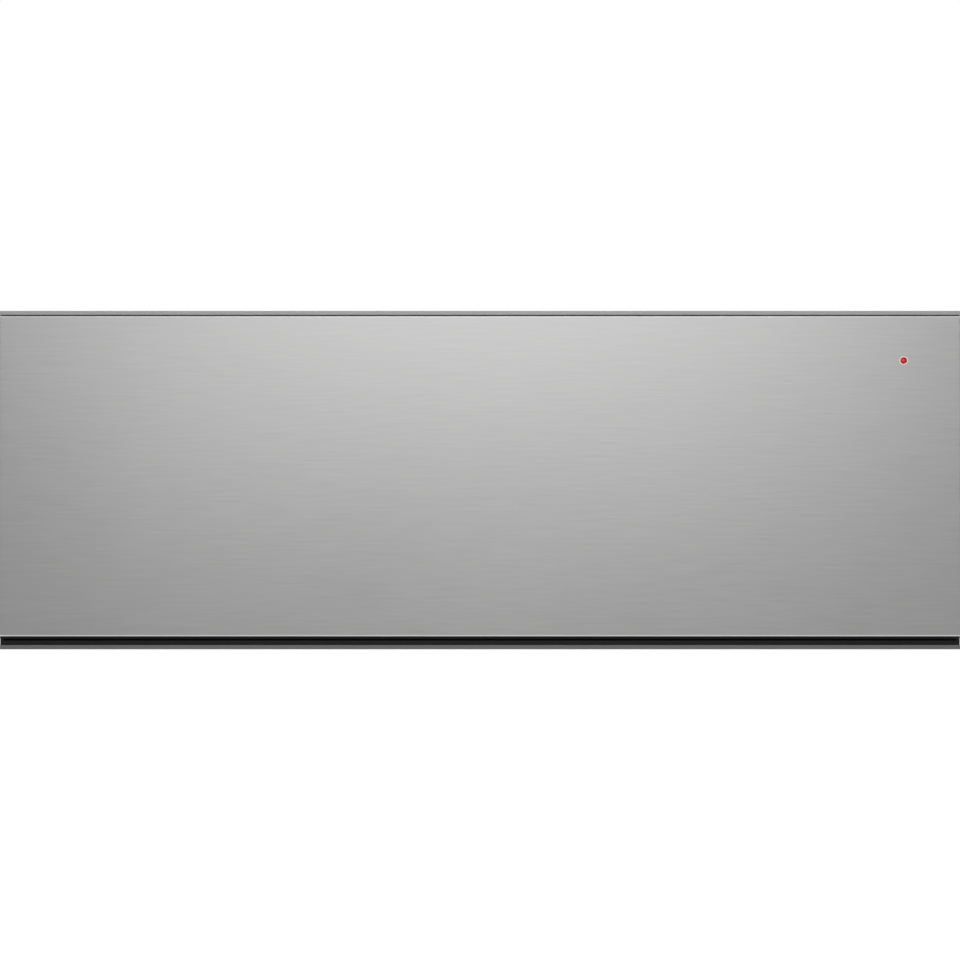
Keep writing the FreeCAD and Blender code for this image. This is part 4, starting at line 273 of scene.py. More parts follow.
def zinc_spangle():
    """Angular crystals of many greys, each mottled its own way, as hot-dip zinc leaves them."""
    bend_scale, bend_reach = 3.0, (0.35, 0.35, 0.35)
    apart = (40.0, 40.0, 40.0)
    feather_scale, feather_share, feather_relief = 2.6, 1.5, 0.3
    tree, given, placed = effect("zinc_spangle")
    warp = noise(tree, placed, bend_scale, 2.0)["Color"]
    bent = vectors(tree, "MULTIPLY_ADD", warp, bend_reach, placed)
    crystal = put(tree, "ShaderNodeTexVoronoi", {"Vector": bent, "Scale": 1.0}).outputs["Color"]
    parts = put(tree, "ShaderNodeSeparateColor", {"Color": crystal}).outputs
    own = vectors(tree, "MULTIPLY_ADD", crystal, apart, placed)
    feather = noise(tree, own, feather_scale, 4.0, distortion=0.6)[0]
    grey = maths(tree, "SUBTRACT", parts[0], NOISE_MIDDLE)
    turned = maths(tree, "SUBTRACT", parts[1], NOISE_MIDDLE)
    speckle = maths(tree, "SUBTRACT", feather, NOISE_MIDDLE)
    mottled = maths(tree, "MULTIPLY_ADD", speckle, feather_share, grey)
    relief = maths(tree, "MULTIPLY_ADD", speckle, feather_relief, parts[0])
    return give_out(tree, given, mottled, turned, relief)


def moulded_grain():
    """Fine even pits of a spark-eroded mould, with a slow drift in tone and gloss."""
    drift_scale, drift_share = 14.0, 0.8
    tree, given, placed = effect("moulded_grain")
    pits = noise(tree, placed, 1.0, 4.0)[0]
    drift = noise(tree, given["Position"], drift_scale, 2.0)[0]
    fine = maths(tree, "SUBTRACT", pits, NOISE_MIDDLE)
    slow = maths(tree, "SUBTRACT", drift, NOISE_MIDDLE)
    both = maths(tree, "MULTIPLY_ADD", slow, drift_share, fine)
    return give_out(tree, given, both, both, pits)


def matted_fibres():
    """Fibres that run every way: three stretched noises crossed, over soft lumps."""
    stretches = ((1.0, 0.12, 0.5), (0.12, 1.0, 0.5), (0.5, 0.5, 0.12))
    fibre_scale, fibre_share = 2600.0, 2.0
    lump_scale, lump_relief = 60.0, 0.7
    tree, given, placed = effect("matted_fibres")
    drawn = [vectors(tree, "MULTIPLY", placed, stretch) for stretch in stretches]
    strands = [noise(tree, place, fibre_scale, 3.0, distortion=0.8)[0] for place in drawn]
    crossed = maths(tree, "MAXIMUM", maths(tree, "MAXIMUM", *strands[:2]), strands[2])
    lumps = noise(tree, given["Position"], lump_scale, 3.0)[0]
    fine = maths(tree, "SUBTRACT", crossed, CROSSED_MIDDLE)
    slow = maths(tree, "SUBTRACT", lumps, NOISE_MIDDLE)
    both = maths(tree, "MULTIPLY_ADD", fine, fibre_share, slow)
    relief = maths(tree, "MULTIPLY_ADD", slow, lump_relief, crossed)
    return give_out(tree, given, both, both, relief)


BRUSHED, SPANGLED = brushed_grain(), zinc_spangle()
MOULDED, MATTED = moulded_grain(), matted_fibres()


# --------------------------------------------------------------------- finishes
class Finish(NamedTuple):
    """A shared effect with its values, and the shader's own settings."""

    effect: bpy.types.NodeTree
    scale: tuple  # of the pattern, along X, Y and Z
    tone: tuple
    contrast: float
    gloss: float  # the mean roughness
    unevenness: float  # how much the roughness varies
    bump: float  # depth of the relief
    shader: dict = {}


def even(scale):
    """The same scale along X, Y and Z."""
    return (scale, scale, scale)


METAL = {"Metallic": 1.0}
DULLED = {"Metallic": 0.4, "Specular IOR Level": 0.2}
ANODISED = {"Specular IOR Level": 0.2}
VARNISH = {"Metallic": 0.7, "Coat Weight": 0.5, "Coat Roughness": 0.2}
LENS = {"Specular IOR Level": 0.2, "Coat Weight": 0.15, "Coat Roughness": 0.08}
POLISH = {"Coat Weight": 0.3, "Coat Roughness": 0.1}
GLASS = {"Transmission Weight": 1.0, "IOR": 1.52}
WOOL_SHEEN = {"Sheen Weight": 0.3, "Sheen Roughness": 0.6}
COARSE_X = (28, 560, 560)
FINE_X, FINE_Y = (60, 1100, 1100), (1100, 60, 1100)
SLEEVE_X, ROD_Y, LAMINATED_Y = (900, 3000, 3000), (120, 60, 120), (60, 1800, 60)
# name: effect, scale, tone, contrast, gloss, unevenness, bump, shader
FINISHES = {
    "brushed_front": (BRUSHED, COARSE_X, (0.431, 0.4315, 0.4295), 0.25, 0.447, 0.1, 1.5e-6, METAL),
    # the two trims below are the front's steel in darker copies: painted shade, deepest on the
    # lower trim
    "upper_lip_shaded": (BRUSHED, COARSE_X, (0.335, 0.336, 0.334), 0.2, 0.6, 0.1, 1.5e-6, DULLED),
    "lower_lip_shaded": (BRUSHED, COARSE_X, (0.16, 0.161, 0.16), 0.2, 0.6, 0.1, 1.5e-6, DULLED),
    "satin_across": (BRUSHED, FINE_X, (0.5, 0.5, 0.495), 0.25, 0.36, 0.14, 1.5e-6, METAL),
    "satin_deep": (BRUSHED, FINE_Y, (0.5, 0.5, 0.495), 0.25, 0.36, 0.14, 1.5e-6, METAL),
    "zinc_sheet": (SPANGLED, even(190), (0.5, 0.515, 0.525), 0.2, 0.42, 0.2, 2e-6, METAL),
    "dull_sheet": (BRUSHED, even(300), (0.52, 0.52, 0.51), 0.3, 0.5, 0.2, 2e-6, METAL),
    "slide_zinc": (BRUSHED, FINE_Y, (0.56, 0.575, 0.59), 0.25, 0.3, 0.16, 1e-6, METAL),
    "bright_strip": (BRUSHED, FINE_Y, (0.6, 0.6, 0.61), 0.16, 0.22, 0.14, 5e-7, METAL),
    "bright_plating": (BRUSHED, even(900), (0.62, 0.62, 0.63), 0.12, 0.2, 0.1, 1e-6, METAL),
    "drawn_steel": (BRUSHED, FINE_Y, (0.42, 0.42, 0.43), 0.25, 0.3, 0.15, 1e-6, METAL),
    "rolled_aluminium": (BRUSHED, FINE_X, (0.66, 0.66, 0.67), 0.2, 0.38, 0.15, 1e-6, METAL),
    "pressed_aluminium": (BRUSHED, even(400), (0.6, 0.6, 0.61), 0.16, 0.36, 0.2, 1e-6, METAL),
    "heated_sheath": (BRUSHED, ROD_Y, (0.2, 0.17, 0.155), 0.9, 0.42, 0.2, 1e-6, METAL),
    "varnished_steel": (BRUSHED, LAMINATED_Y, (0.16, 0.165, 0.17), 0.5, 0.34, 0.15, 2e-5, VARNISH),
    "woven_sleeve": (BRUSHED, SLEEVE_X, (0.58, 0.57, 0.52), 0.4, 0.8, 0.1, 4e-5),
    "black_extrusion": (MOULDED, even(1800), (0.012, 0.012, 0.013), 0.4, 0.5, 0.15, 6e-6, ANODISED),
    "black_rubber": (MOULDED, even(1400), (0.02, 0.02, 0.021), 0.5, 0.8, 0.2, 2e-5),
    "grey_moulding": (MOULDED, even(1600), (0.26, 0.27, 0.28), 0.12, 0.5, 0.2, 1e-5),
    "black_moulding": (MOULDED, even(1600), (0.022, 0.022, 0.024), 0.3, 0.42, 0.2, 1e-5),
    "knob_moulding": (MOULDED, even(2200), (0.024, 0.024, 0.024), 0.3, 0.36, 0.2, 6e-6),
    "brown_moulding": (MOULDED, even(1200), (0.06, 0.04, 0.03), 0.3, 0.4, 0.2, 1e-5),
    "pale_marking": (MOULDED, even(2500), (0.75, 0.75, 0.73), 0.06, 0.5, 0.1, 2e-6),
    "dark_silicone": (MOULDED, even(900), (0.035, 0.035, 0.036), 0.3, 0.55, 0.15, 8e-6),
    "red_lens": (MOULDED, even(300), (0.2, 0.004, 0.007), 0.2, 0.2, 0.05, 1e-6, LENS),
    "pale_bezel": (MOULDED, even(900), (0.86, 0.52, 0.55), 0.06, 0.3, 0.1, 1e-6, POLISH),
    "clear_glass": (MOULDED, even(40), (0.972, 0.982, 0.978), 0.02, 0.03, 0.02, 0.0, GLASS),
    "mineral_wool": (MATTED, even(1), (0.5, 0.43, 0.24), 0.7, 0.95, 0.05, 1.2e-4, WOOL_SHEEN),
}
SLOT_FINISH = {
    "stainless_front": "brushed_front",
    "stainless_tub": "satin_across",
    "galvanised_sheet": "zinc_sheet",
    "aluminised_sheet": "dull_sheet",
    "black_profile": "black_extrusion",
    "slide_steel": "slide_zinc",
    "cage_steel": "bright_strip",
    "plated_fasteners": "bright_plating",
    "spring_steel": "drawn_steel",
    "bumper_rubber": "black_rubber",
    "latch_plastic": "grey_moulding",
    "inlet_plastic": "black_moulding",
    "knob_plastic": "knob_moulding",
    "indicator_red": "red_lens",
    "indicator_bezel": "pale_bezel",
    "lead_insulation": "woven_sleeve",
    "floor_glass": "clear_glass",
    "silicone": "dark_silicone",
    "mineral_wool": "mineral_wool",
    "heat_plate": "rolled_aluminium",
    "element_sheath": "heated_sheath",
    "thermostat_case": "brown_moulding",
    "motor_case": "varnished_steel",
    "fan_sheet": "pressed_aluminium",
}
NODE_FINISH = {
    # the trims take darker copies of the front's steel, which paint shade on them
    "top_trim": "upper_lip_shaded",
    "bottom_trim": "lower_lip_shaded",
    "drawer_left_side": "satin_deep",
    "drawer_right_side": "satin_deep",
}

# colours of the painted highlight on the front's rolled borders, the lower one brighter
UPPER_BORDER_HIGHLIGHT, LOWER_BORDER_HIGHLIGHT = (0.66, 0.662, 0.658, 1.0), (0.9, 0.902, 0.898, 1.0)
BORDER_CHANGE = 0.02  # the painted highlight's colour changes between this far from the top and from the foot
BORDER_WIDTH = (0.0012, 0.0008)  # from the edge, where its share is 0 and where it is 1
BORDER_DEPTH = (0.0016, 0.0011)  # behind the face, likewise
# black of the painted shade on the trims' legs, in the gaps above and below the front
LEG_SHADE_BLACK = (0.006, 0.006, 0.006, 1.0)
LEG_FADE = 0.0003
LEG_INSET = (0.00005, 0.00015)  # from its ends and back, where the share is 0 and 1
UPPER_LEG_EDGE = FRONT_HIGH.z + 0.0006
LOWER_LEG_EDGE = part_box("air_gap_profile")[0].z + 0.0001
ACROSS_ONLY = (1.0, 0.0, 1.0)  # leaves out the depth
# brighter red of the painted light at the lens's middle
LENS_GLOW_RED = (0.85, 0.035, 0.05, 1.0)
LENS_GLOW_SHARES = (0.85, 0.1)  # of the lens's radius, where the painted glow starts and where it is full


def polished_border(tree, position, colour):
    """Painted highlight on the rolled upper and lower borders of the front: their colour is
    brighter than its face, most at the foot.
    """
    middle, half = (FRONT_LOW + FRONT_HIGH) / 2, (FRONT_HIGH - FRONT_LOW) / 2
    offset = vectors(tree, "SUBTRACT", position, middle)
    inside = separated(tree, vectors(tree, "SUBTRACT", half, vectors(tree, "ABSOLUTE", offset)))
    height, depth = separated(tree, offset)["Z"], separated(tree, position)["Y"]
    lower = between(tree, height, half.z - BORDER_CHANGE, BORDER_CHANGE - half.z)
    rolled = between(tree, depth, *(FACE_Y + reach for reach in BORDER_DEPTH))
    share = maths(tree, "MULTIPLY", rolled, between(tree, inside["Z"], *BORDER_WIDTH))
    return blended(tree, share, colour, blended(tree, lower, UPPER_BORDER_HIGHLIGHT, LOWER_BORDER_HIGHLIGHT))


def darkened_leg(node, edge, inward):
    """A touch that paints shade on a trim's leg: black past the edge of its lip, where the gap lies
    in shadow, but for its ends and back.
    """
    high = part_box(node)[1]

    def touch(tree, position, colour):
        parts = separated(tree, position)
        share = between(tree, parts["Z"], edge, edge + inward * LEG_FADE)
        for part, limit in ((maths(tree, "ABSOLUTE", parts["X"]), high.x), (parts["Y"], high.y)):
            inside = between(tree, part, *(limit - inset for inset in LEG_INSET))
            share = maths(tree, "MULTIPLY", share, inside)
        return blended(tree, share, colour, LEG_SHADE_BLACK)

    return touch


def bright_core(tree, position, colour):
    """Painted light: the lens is coloured brighter red at its middle, where the most light comes
    back.
    """
    low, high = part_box("indicator_lens")
    middle = ((low.x + high.x) / 2, 0.0, (low.z + high.z) / 2)
    across = vectors(tree, "MULTIPLY", vectors(tree, "SUBTRACT", position, middle), ACROSS_ONLY)
    away = put(tree, "ShaderNodeVectorMath", {0: across}, operation="LENGTH").outputs["Value"]
    glow_share = between(tree, away, *((high.x - low.x) / 2 * share for share in LENS_GLOW_SHARES))
    return blended(tree, glow_share, colour, LENS_GLOW_RED)


TOUCHES = {
    # painted highlight on the front's rolled borders
    "brushed_front": polished_border,
    # painted shade: the trims' legs turn black in the gaps
    "upper_lip_shaded": darkened_leg("top_trim", UPPER_LEG_EDGE, -1),
    "lower_lip_shaded": darkened_leg("bottom_trim", LOWER_LEG_EDGE, 1),
    # painted light at the middle of the lens
    "red_lens": bright_core,
}


def finished(name):
    """The material of that name: a shared effect in a Principled shader, made once.

    The frame brings plain materials named after the slots, and one that has a finish's name is
    returned as it is. The mats stay plain for that reason: mineral_wool is both names.
    """
    known = bpy.data.materials.get(name)
    if known:
        return known
    look = Finish(*FINISHES[name])
    made = bpy.data.materials.new(name)
    made.use_nodes = True
    tree = made.node_tree
    shader = tree.nodes["Principled BSDF"]
    position = put(tree, "ShaderNodeTexCoord").outputs["Object"]
    values = {
        "Position": position,
        "Scale": look.scale,
        "Tone": (*look.tone, 1.0),
        "Contrast": look.contrast,
        "Gloss": look.gloss,
        "Unevenness": look.unevenness,
    }
    surface = put(tree, "ShaderNodeGroup", values, node_tree=look.effect).outputs
    colour = surface["Color"]
    if name in TOUCHES:
        colour = TOUCHES[name](tree, position, colour)
    tree.links.new(colour, shader.inputs["Base Color"])
    tree.links.new(surface["Roughness"], shader.inputs["Roughness"])
    if look.bump:
        relief = {"Height": surface["Height"], "Distance": look.bump, "Strength": 1.0}
        bump = put(tree, "ShaderNodeBump", relief)
        tree.links.new(bump.outputs[0], shader.inputs["Normal"])
    for key, number in look.shader.items():
        shader.inputs[key].default_value = number
    return made


def dress_nodes():
    """Gives every node the finish of its slot, or its own where its grain runs another way or, on
    the trims, where a darker copy paints shade.
    """
    for part in frame["record"]["subparts"]:
        node = frame["nodes"][part["node"]]
        look = finished(NODE_FINISH.get(part["node"], SLOT_FINISH[part["material_slot"]]))
        if not node.material_slots:
            node.data.materials.append(look)
        for held in node.material_slots:
            held.material = look


# ----------------------------------------------------------------- shape makers
LATHE_COLUMNS = 72
WAVE_COUNT, WAVE_STRENGTH = 9, 1.6
INNERMOST_RING = 0.02  # as a share of the way to the edge
EDGE_ROWS, CORNER_POINTS = 7, 7
UNDERSIDE_LIFT = 0.3  # of the ripple of the top


def new_piece(name, points, faces, body, slot, replaced=None, finish=None, smooth=True):
    """A piece on its body, in the finish of its slot or its own, in place of a node."""
    mesh = bpy.data.meshes.new(name)
    mesh.from_pydata(points, [], faces)
    mesh.polygons.foreach_set("use_smooth", np.full(len(faces), smooth))
    mesh.materials.append(finished(finish or SLOT_FINISH[slot]))
    piece = into_scene(name, mesh)
    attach(piece, body)
    if replaced:
        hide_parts(replaced)
    return piece


def capped(grid):
    """Points, faces and end faces over a grid whose columns close on themselves.

    The first and last rows are closed to their mean points. The faces are turned outwards by
    the sign of the volume they enclose, the sum of a . (b x c) over the triangles a, b, c.
    """
    rows, columns, _ = grid.shape
    index = np.arange(rows * columns).reshape(rows, columns)
    after = np.roll(index, -1, axis=1)
    quads = np.stack([index[:-1], after[:-1], after[1:], index[1:]], axis=-1).reshape(-1, 4)
    first = np.full(columns, rows * columns)
    near = np.stack([first, after[0], index[0]], axis=-1)
    far = np.stack([first + 1, index[-1], after[-1]], axis=-1)
    caps = np.concatenate([near, far])
    points = np.concatenate([grid.reshape(-1, 3), grid[:1].mean(1), grid[-1:].mean(1)])
    triangles = np.concatenate([quads[:, [0, 1, 2]], quads[:, [0, 2, 3]], caps])
    a, b, c = points[triangles].transpose(1, 0, 2)
    if np.einsum("ij,ij->", a, np.cross(b, c)) < 0:
        quads, caps = quads[:, ::-1], caps[:, ::-1]
    return points, quads, caps


def skin(name, grids, body, slot, replaced=None, finish=None):
    """A piece over one or more capped grids, rows along each and columns round it."""
    points, faces = [], []
    for grid in grids:
        own, quads, caps = capped(grid)
        faces += (quads + len(points)).tolist() + (caps + len(points)).tolist()
        points += own.tolist()
    return new_piece(name, points, faces, body, slot, replaced, finish)


def hoop(name, grid, body, slot, replaced):
    """A piece over a grid that closes on itself both ways, so it needs no ends.

    Each face joins the points at (row, column), the next row, the next of both, and the next
    column, where the last row and column are followed by the first.
    """
    index = np.arange(len(grid) * grid.shape[1]).reshape(grid.shape[:2])
    below, after = np.roll(index, -1, axis=0), np.roll(index, -1, axis=1)
    beyond = np.roll(below, -1, axis=1)
    quads = np.stack([index, below, beyond, after], axis=-1).reshape(-1, 4)
    new_piece(name, grid.reshape(-1, 3).tolist(), quads.tolist(), body, slot, replaced)


def lathe(profile, centre):
    """Profile of (distance along Y, radius) turned round the line through centre along Y.

    Point = centre + (radius cos t, distance, radius sin t) for t once round.
    """
    turn = np.linspace(0, 2 * np.pi, LATHE_COLUMNS, endpoint=False)
    along, radius = profile.T
    grid = np.empty((len(along), LATHE_COLUMNS, 3))
    grid[..., 0] = centre[0] + radius[:, None] * np.cos(turn)
    grid[..., 1] = centre[1] + along[:, None]
    grid[..., 2] = centre[2] + radius[:, None] * np.sin(turn)
    return grid


def uneven(across, along, reach, seed):
    """Soft unevenness from 0 to 1: the mean of nine sine waves of about that length."""
    chance = np.random.default_rng(seed)
    waves = chance.normal(0, 2 * np.pi / reach, (WAVE_COUNT, 2))
    phases = chance.uniform(0, 2 * np.pi, WAVE_COUNT)
    total = np.sin(across[..., None] * waves[:, 0] + along[..., None] * waves[:, 1] + phases)
    return 0.5 + 0.5 * np.clip(total.mean(-1) * WAVE_STRENGTH, -1, 1)


def slab(outline, middle, low, high, edge, rings, ripple=0.0, reach=0.05, seed=1, dimple=None):
    """A plate or mat over an outline, all of which can be seen from its middle point.

    Rows run from the middle of the underside out to the edge, round a half-round edge of
    radius `edge`, and back over the top: point = middle + (outline - middle) x share, drawn in
    by edge x (1 - cos a) at the angle a of the edge, with height = end of the flat + edge sin a.
    The ripple sinks the top by soft unevenness and lifts the underside by less, and a dimple
    (radius, depth) sinks the top by depth x exp(-(distance / radius)^4).
    """
    spokes = outline - middle
    lengths = np.linalg.norm(spokes, axis=1, keepdims=True)
    share = np.linspace(INNERMOST_RING, 1, rings)[:, None, None]
    angle = np.linspace(-np.pi / 2, np.pi / 2, EDGE_ROWS + 2)[1:-1][:, None, None]
    face = spokes * (1 - edge / lengths)
    round_edge = spokes * (1 - edge * (1 - np.cos(angle)) / lengths)
    flat = np.concatenate([face * share, round_edge, (face * share)[::-1]]) + middle
    rise = np.where(angle < 0, low + edge, high - edge) + edge * np.sin(angle)
    ends = [np.full((rings, 1, 1), level) for level in (low, high)]
    height = np.concatenate([ends[0], rise, ends[1]])
    height = np.broadcast_to(height[..., 0], flat.shape[:2]).copy()
    sink = ripple * uneven(flat[..., 0], flat[..., 1], reach, seed)
    height += np.where(height > (low + high) / 2, -sink, UNDERSIDE_LIFT * sink)
    if dimple:
        distance = np.linalg.norm(flat - middle, axis=-1)
        depth = dimple[1] * np.exp(-((distance / dimple[0]) ** 4))
        height -= np.where(height > (low + high) / 2, depth, 0)
    return np.concatenate([flat, height[..., None]], axis=-1)


def unit(directions):
    """Each direction at a length of 1."""
    return directions / np.linalg.norm(directions, axis=1, keepdims=True)


def walk(corners, radius, spacing):
    """Points along a closed outline of straight runs, its corners rounded.

    Each corner is a quadratic arc between the points one radius before and after it:
    (1-t)^2 a + 2 t (1-t) corner + t^2 b. The runs between are divided evenly.
    """
    corners = np.asarray(corners, float)
    enter = corners + unit(np.roll(corners, 1, axis=0) - corners) * radius
    leave = corners + unit(np.roll(corners, -1, axis=0) - corners) * radius
    t = np.linspace(0, 1, CORNER_POINTS)[:, None]
    path = []
    for n, corner in enumerate(corners):
        path.append((1 - t) ** 2 * enter[n] + 2 * t * (1 - t) * corner + t**2 * leave[n])
        run = enter[(n + 1) % len(corners)] - leave[n]
        count = max(int(np.linalg.norm(run) / spacing), 1)
        path.append(leave[n] + run * (np.arange(1, count) / count)[:, None])
    return np.concatenate(path)


def stadium(start, end, width, points):
    """Outline of a bar with round ends: two half circles of half the width at its ends."""
    bearing = math.atan2(*(end - start)[::-1])
    turn = np.linspace(np.pi / 2, 3 * np.pi / 2, points) + bearing
    half = width / 2 * np.stack([np.cos(turn), np.sin(turn)], axis=-1)
    return np.concatenate([start + half, end - half])


def upright(grid):
    """A grid made lying flat, stood up: its height becomes depth along Y."""
    return grid[..., [0, 2, 1]]


# ------------------------------------------------------------------- pilot lamp
LENS_ROWS, LENS_TOP = 24, 0.04  # of the dome, and its first row as a share of its angle
LENS_SHOULDER, LENS_STEM = 0.0005, 0.004  # behind the face
LENS_TAPER = 0.98  # of its radius, at the stem's end
RING_ROWS, RING_PLAY, RING_SLEEVE = 17, 0.00005, 0.0006


def pilot_lens(centre, radius, ahead, behind):
    """Red domed lens with its stem.

    The dome is a cap of a ball of radius B = (R^2 + ahead^2) / (2 ahead): radius = B sin t and
    distance = B (1 - cos t) - ahead for t up to asin(R / B). The stem runs straight behind it.
    """
    ball = (radius**2 + ahead**2) / (2 * ahead)
    t = np.linspace(LENS_TOP, 1, LENS_ROWS) * math.asin(radius / ball)
    dome = np.stack([ball * (1 - np.cos(t)) - ahead, ball * np.sin(t)], axis=-1)
    stem = [(LENS_SHOULDER, radius), (LENS_STEM, radius), (behind, radius * LENS_TAPER)]
    grid = lathe(np.concatenate([dome, stem]), centre)
    skin("pilot_lens", [grid], "drawer", "indicator_red", "indicator_lens")


def pilot_ring(centre, bore):
    """Ring round the lens: its section is a half round ahead of a thin sleeve.

    The half round at the angle t from 0 to half a turn: distance = -ahead sin t and radius =
    middle - half cos t, with the middle and half of the width of the ring's wall.
    """
    low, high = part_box("indicator_ring")
    outer, ahead, behind = (high.x - low.x) / 2, FACE_Y - low.y, high.y - FACE_Y
    t = np.linspace(0, 1, RING_ROWS) * np.pi
    middle, half = (outer + bore) / 2, (outer - bore) / 2
    bead = np.stack([-ahead * np.sin(t), middle - half * np.cos(t)], axis=-1)
    sleeve = [(0.0, bore + RING_SLEEVE), (behind, bore + RING_SLEEVE), (behind, bore)]
    grid = lathe(np.concatenate([bead, sleeve]), centre)
    hoop("pilot_ring", grid, "drawer", "indicator_bezel", "indicator_ring")


def pilot_lamp():
    """The lens and its ring, turned round one line through the front."""
    low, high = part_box("indicator_lens")
    centre = ((low.x + high.x) / 2, FACE_Y, (low.z + high.z) / 2)
    radius = (high.x - low.x) / 2
    pilot_lens(centre, radius, FACE_Y - low.y, high.y - FACE_Y)
    pilot_ring(centre, radius + RING_PLAY)


# ---------------------------------------------------------------- latch springs
COIL_WIRE, COIL_TURNS, COIL_CLOSED = 0.0014, 6, 0.9  # the turns closed at each end
COIL_STEPS, WIRE_SIDES = 36, 14  # rows in each turn, and columns round the wire
COIL_OPENING = 0.25  # of a turn, in which the pitch grows from closed to full


def latch_coils():
    """Coil springs of the push latches, whose end turns lie closed on each other.

    The wire's middle line at t turns: radius = coil, depth = front + wire x t + slack x the
    share of the open turns passed. The wire round it, at the angle a: radius = coil +
    wire / 2 cos a and depth + wire / 2 sin a. The right spring mirrors the left one.
    """
    low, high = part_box("latch_springs")
    outer, level = (high.z - low.z) / 2, (low.z + high.z) / 2
    t = np.linspace(0, COIL_TURNS, COIL_STEPS * COIL_TURNS + 1)[:, None]
    opened = np.clip((np.minimum(t, COIL_TURNS - t) - COIL_CLOSED) / COIL_OPENING, 0, 1)
    slack = high.y - low.y - COIL_WIRE * (COIL_TURNS + 1)
    passed = np.cumsum(opened, axis=0) / opened.sum()
    depth = low.y + COIL_WIRE / 2 + COIL_WIRE * t + slack * passed
    a = np.linspace(0, 2 * np.pi, WIRE_SIDES, endpoint=False)
    radius = outer - COIL_WIRE / 2 + COIL_WIRE / 2 * np.cos(a)
    grid = np.empty((len(t), len(a), 3))
    grid[..., 0] = high.x - outer + radius * np.cos(2 * np.pi * t)
    grid[..., 1] = depth + COIL_WIRE / 2 * np.sin(a)
    grid[..., 2] = level + radius * np.sin(2 * np.pi * t)
    pair = [grid, grid * (-1, 1, 1)]
    coils = skin("latch_coils", pair, "housing", "spring_steel", "latch_springs")
    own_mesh(coils)


# --------------------------------------------------------------------- wool mats
WOOL_SPACING = 0.012  # between the points of an outline
LAMP_CLEARANCE = 0.014
CUTOUT_DIMPLE = (0.011, 0.003)  # radius and depth of the hollow under the thermal cut-out


def lying_mat(node, edge, **faces):
    """The grid of a mat that lies flat and fills the box of its node."""
    low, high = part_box(node)
    corners = [(low.x, low.y), (high.x, low.y), (high.x, high.y), (low.x, high.y)]
    middle = np.array([(low.x + high.x) / 2, (low.y + high.y) / 2])
    return slab(walk(corners, edge, WOOL_SPACING), middle, low.z, high.z, edge, **faces)


def standing_mat(node, edge, **faces):
    """The grid of a mat that stands in the front, with its corner cut out round the lamp."""
    low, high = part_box(node)
    lamp_low, lamp_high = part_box("indicator_lens")
    side = (lamp_low.x + lamp_high.x) / 2 - LAMP_CLEARANCE
    level = (lamp_low.z + lamp_high.z) / 2 - LAMP_CLEARANCE
    lower = [(low.x, low.z), (high.x, low.z), (high.x, level)]
    upper = [(side, level), (side, high.z), (low.x, high.z)]
    middle = np.array([0.0, (low.z + level) / 2])
    outline = walk(lower + upper, edge, WOOL_SPACING)
    return upright(slab(outline, middle, low.y, high.y, edge, **faces))


def wool_mats():
    """Three mineral wool mats with half-round edges and soft uneven faces."""
    top = lying_mat("top_insulation_mat", 0.004, rings=40, ripple=0.0009, reach=0.06, seed=3)
    skin("top_wool", [top], "housing", "mineral_wool", "top_insulation_mat")
    heater = lying_mat(
        "heater_insulation_mat",
        0.003,
        rings=40,
        ripple=0.0008,
        reach=0.05,
        seed=5,
        dimple=CUTOUT_DIMPLE,
    )
    skin("heater_wool", [heater], "drawer", "mineral_wool", "heater_insulation_mat")
    front = standing_mat("front_insulation_mat", 0.004, rings=36, ripple=0.0009, reach=0.06, seed=9)
    skin("front_wool", [front], "drawer", "mineral_wool", "front_insulation_mat")


# -------------------------------------------------------------------------- dial
DIAL_START, DIAL_SWEEP = 225.0, 270.0  # degrees, the sweep clockwise
NUMBERS, STROKES_BETWEEN = 6, 5
RIM_TO_STROKE, RIM_TO_NUMBER = 0.0012, 0.0049
LONG_STROKE, SHORT_STROKE = (0.0016, 0.0005), (0.0008, 0.0003)  # length and width
STROKE_SUNK, STROKE_PROUD, STROKE_EDGE = 2e-5, 6e-5, 3e-5
STROKE_ROUND, POINTER_ROUND = 6, 10  # points of each round end
POINTER_REACH = (0.3, 0.8)  # its start and end, as shares of the knob's radius
POINTER_WIDTH, POINTER_SUNK, POINTER_PROUD, POINTER_EDGE = 0.0013, 5e-5, 0.00022, 0.0001
NUMBER_SIZE, NUMBER_THICKNESS = 0.0036, 0.00004


def dial_ways(count):
    """Directions from the middle of the dial, evenly over its sweep."""
    bearings = np.radians(np.linspace(DIAL_START, DIAL_START - DIAL_SWEEP, count))
    return np.stack([np.cos(bearings), np.sin(bearings)], axis=-1)


def dial_strokes(centre, rim, plate_top):
    """Strokes on the scale plate: bars with round ends, long at the numbers."""
    bars = []
    for n, way in enumerate(dial_ways((NUMBERS - 1) * (STROKES_BETWEEN + 1) + 1)):
        length, width = SHORT_STROKE if n % (STROKES_BETWEEN + 1) else LONG_STROKE
        start = centre + way * (rim + RIM_TO_STROKE)
        end = centre + way * (rim + RIM_TO_STROKE + length)
        low, high = plate_top - STROKE_SUNK, plate_top + STROKE_PROUD
        outline = stadium(start, end, width, STROKE_ROUND)
        bars.append(slab(outline, (start + end) / 2, low, high, STROKE_EDGE, rings=3))
    skin("dial_strokes", bars, "drawer", "knob_plastic", finish="pale_marking")


def knob_pointer(centre, rim, knob_top):
    """Bar on top of the knob that points at 0 when the knob is at rest."""
    start, end = (centre + dial_ways(NUMBERS)[0] * rim * share for share in POINTER_REACH)
    low, high = knob_top - POINTER_SUNK, knob_top + POINTER_PROUD
    outline = stadium(start, end, POINTER_WIDTH, POINTER_ROUND)
    bar = slab(outline, (start + end) / 2, low, high, POINTER_EDGE, rings=4)
    skin("knob_pointer", [bar], "knob", "knob_plastic", finish="pale_marking")


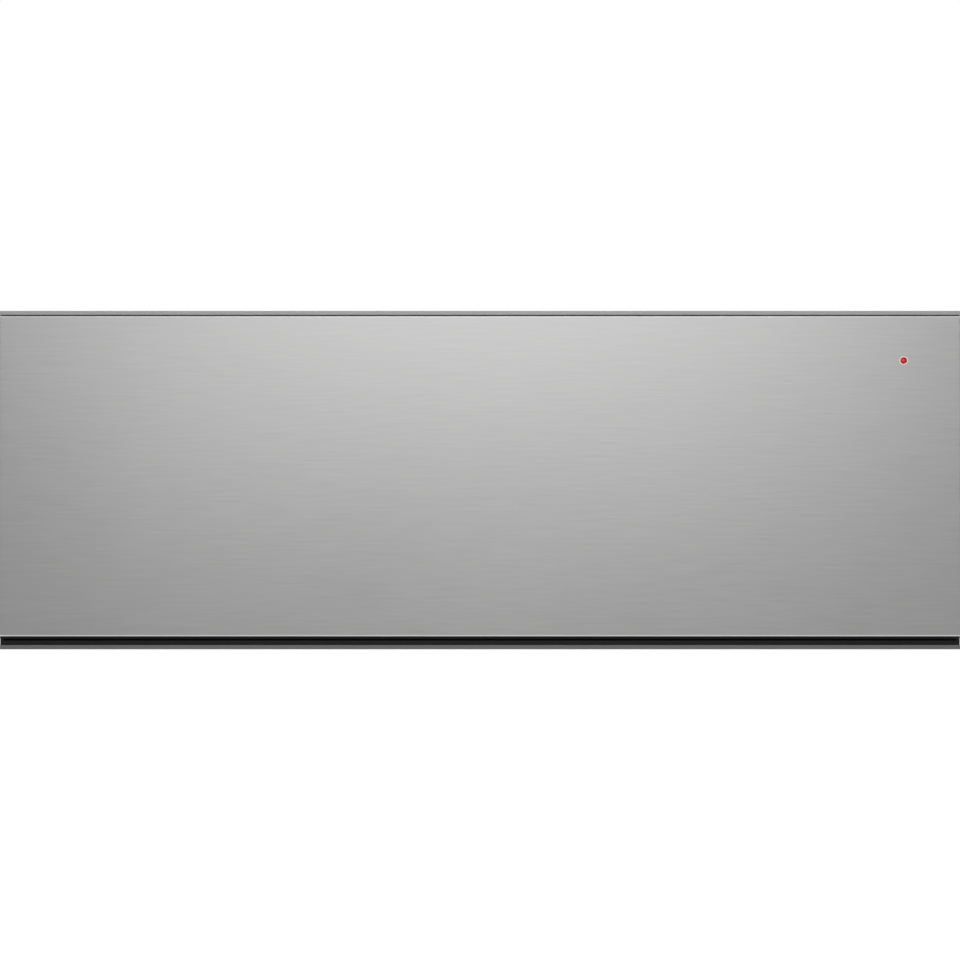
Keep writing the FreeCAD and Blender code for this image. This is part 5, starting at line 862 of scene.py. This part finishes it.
def number_mesh(label):
    """Points and faces of one number, its middle at the origin."""
    text = bpy.data.curves.new("dial_number", "FONT")
    text.body, text.size, text.extrude = label, NUMBER_SIZE, NUMBER_THICKNESS
    text.align_x, text.align_y = "CENTER", "CENTER"
    holder = into_scene("dial_number", text)
    bpy.context.view_layer.update()
    shape = holder.evaluated_get(bpy.context.evaluated_depsgraph_get())
    mesh = bpy.data.meshes.new_from_object(shape)
    points = np.empty(len(mesh.vertices) * 3, np.float32)
    mesh.vertices.foreach_get("co", points)
    corners = np.empty(len(mesh.loops), np.int32)
    mesh.loops.foreach_get("vertex_index", corners)
    starts = np.empty(len(mesh.polygons), np.int32)
    mesh.polygons.foreach_get("loop_start", starts)
    bpy.data.objects.remove(holder)
    bpy.data.curves.remove(text)
    bpy.data.meshes.remove(mesh)
    return points.reshape(-1, 3), np.split(corners, starts[1:])


def dial_numbers(centre, rim, plate_top):
    """Numbers 0 to 5: each one's points moved to centre + way x distance, on the plate."""
    points, faces = [], []
    for n, way in enumerate(dial_ways(NUMBERS)):
        own, own_faces = number_mesh(str(n))
        spot = centre + (rim + RIM_TO_NUMBER) * way
        shift = np.array([*spot, plate_top + NUMBER_THICKNESS], np.float32)
        faces += [(face + len(points)).tolist() for face in own_faces]
        points += (own + shift).tolist()
    looks = {"finish": "pale_marking", "smooth": False}
    new_piece("dial_numbers", points, faces, "drawer", "knob_plastic", **looks)


def dial_marks():
    """The printed scale on its plate, and the pointer on the knob."""
    low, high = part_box("temperature_knob")
    centre = np.array([(low.x + high.x) / 2, (low.y + high.y) / 2])
    rim, plate_top = (high.x - low.x) / 2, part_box("scale_plate")[1].z
    dial_strokes(centre, rim, plate_top)
    knob_pointer(centre, rim, high.z)
    dial_numbers(centre, rim, plate_top)


# ------------------------------------------------------------------------- scene
front_camera()
studio_world()
studio_floor()
for lamp_name, lamp in LAMPS.items():
    soft_box(lamp_name, *lamp)
bpy.context.scene.view_settings.view_transform = "Standard"

dress_nodes()
pilot_lamp()
latch_coils()
wool_mats()
dial_marks()
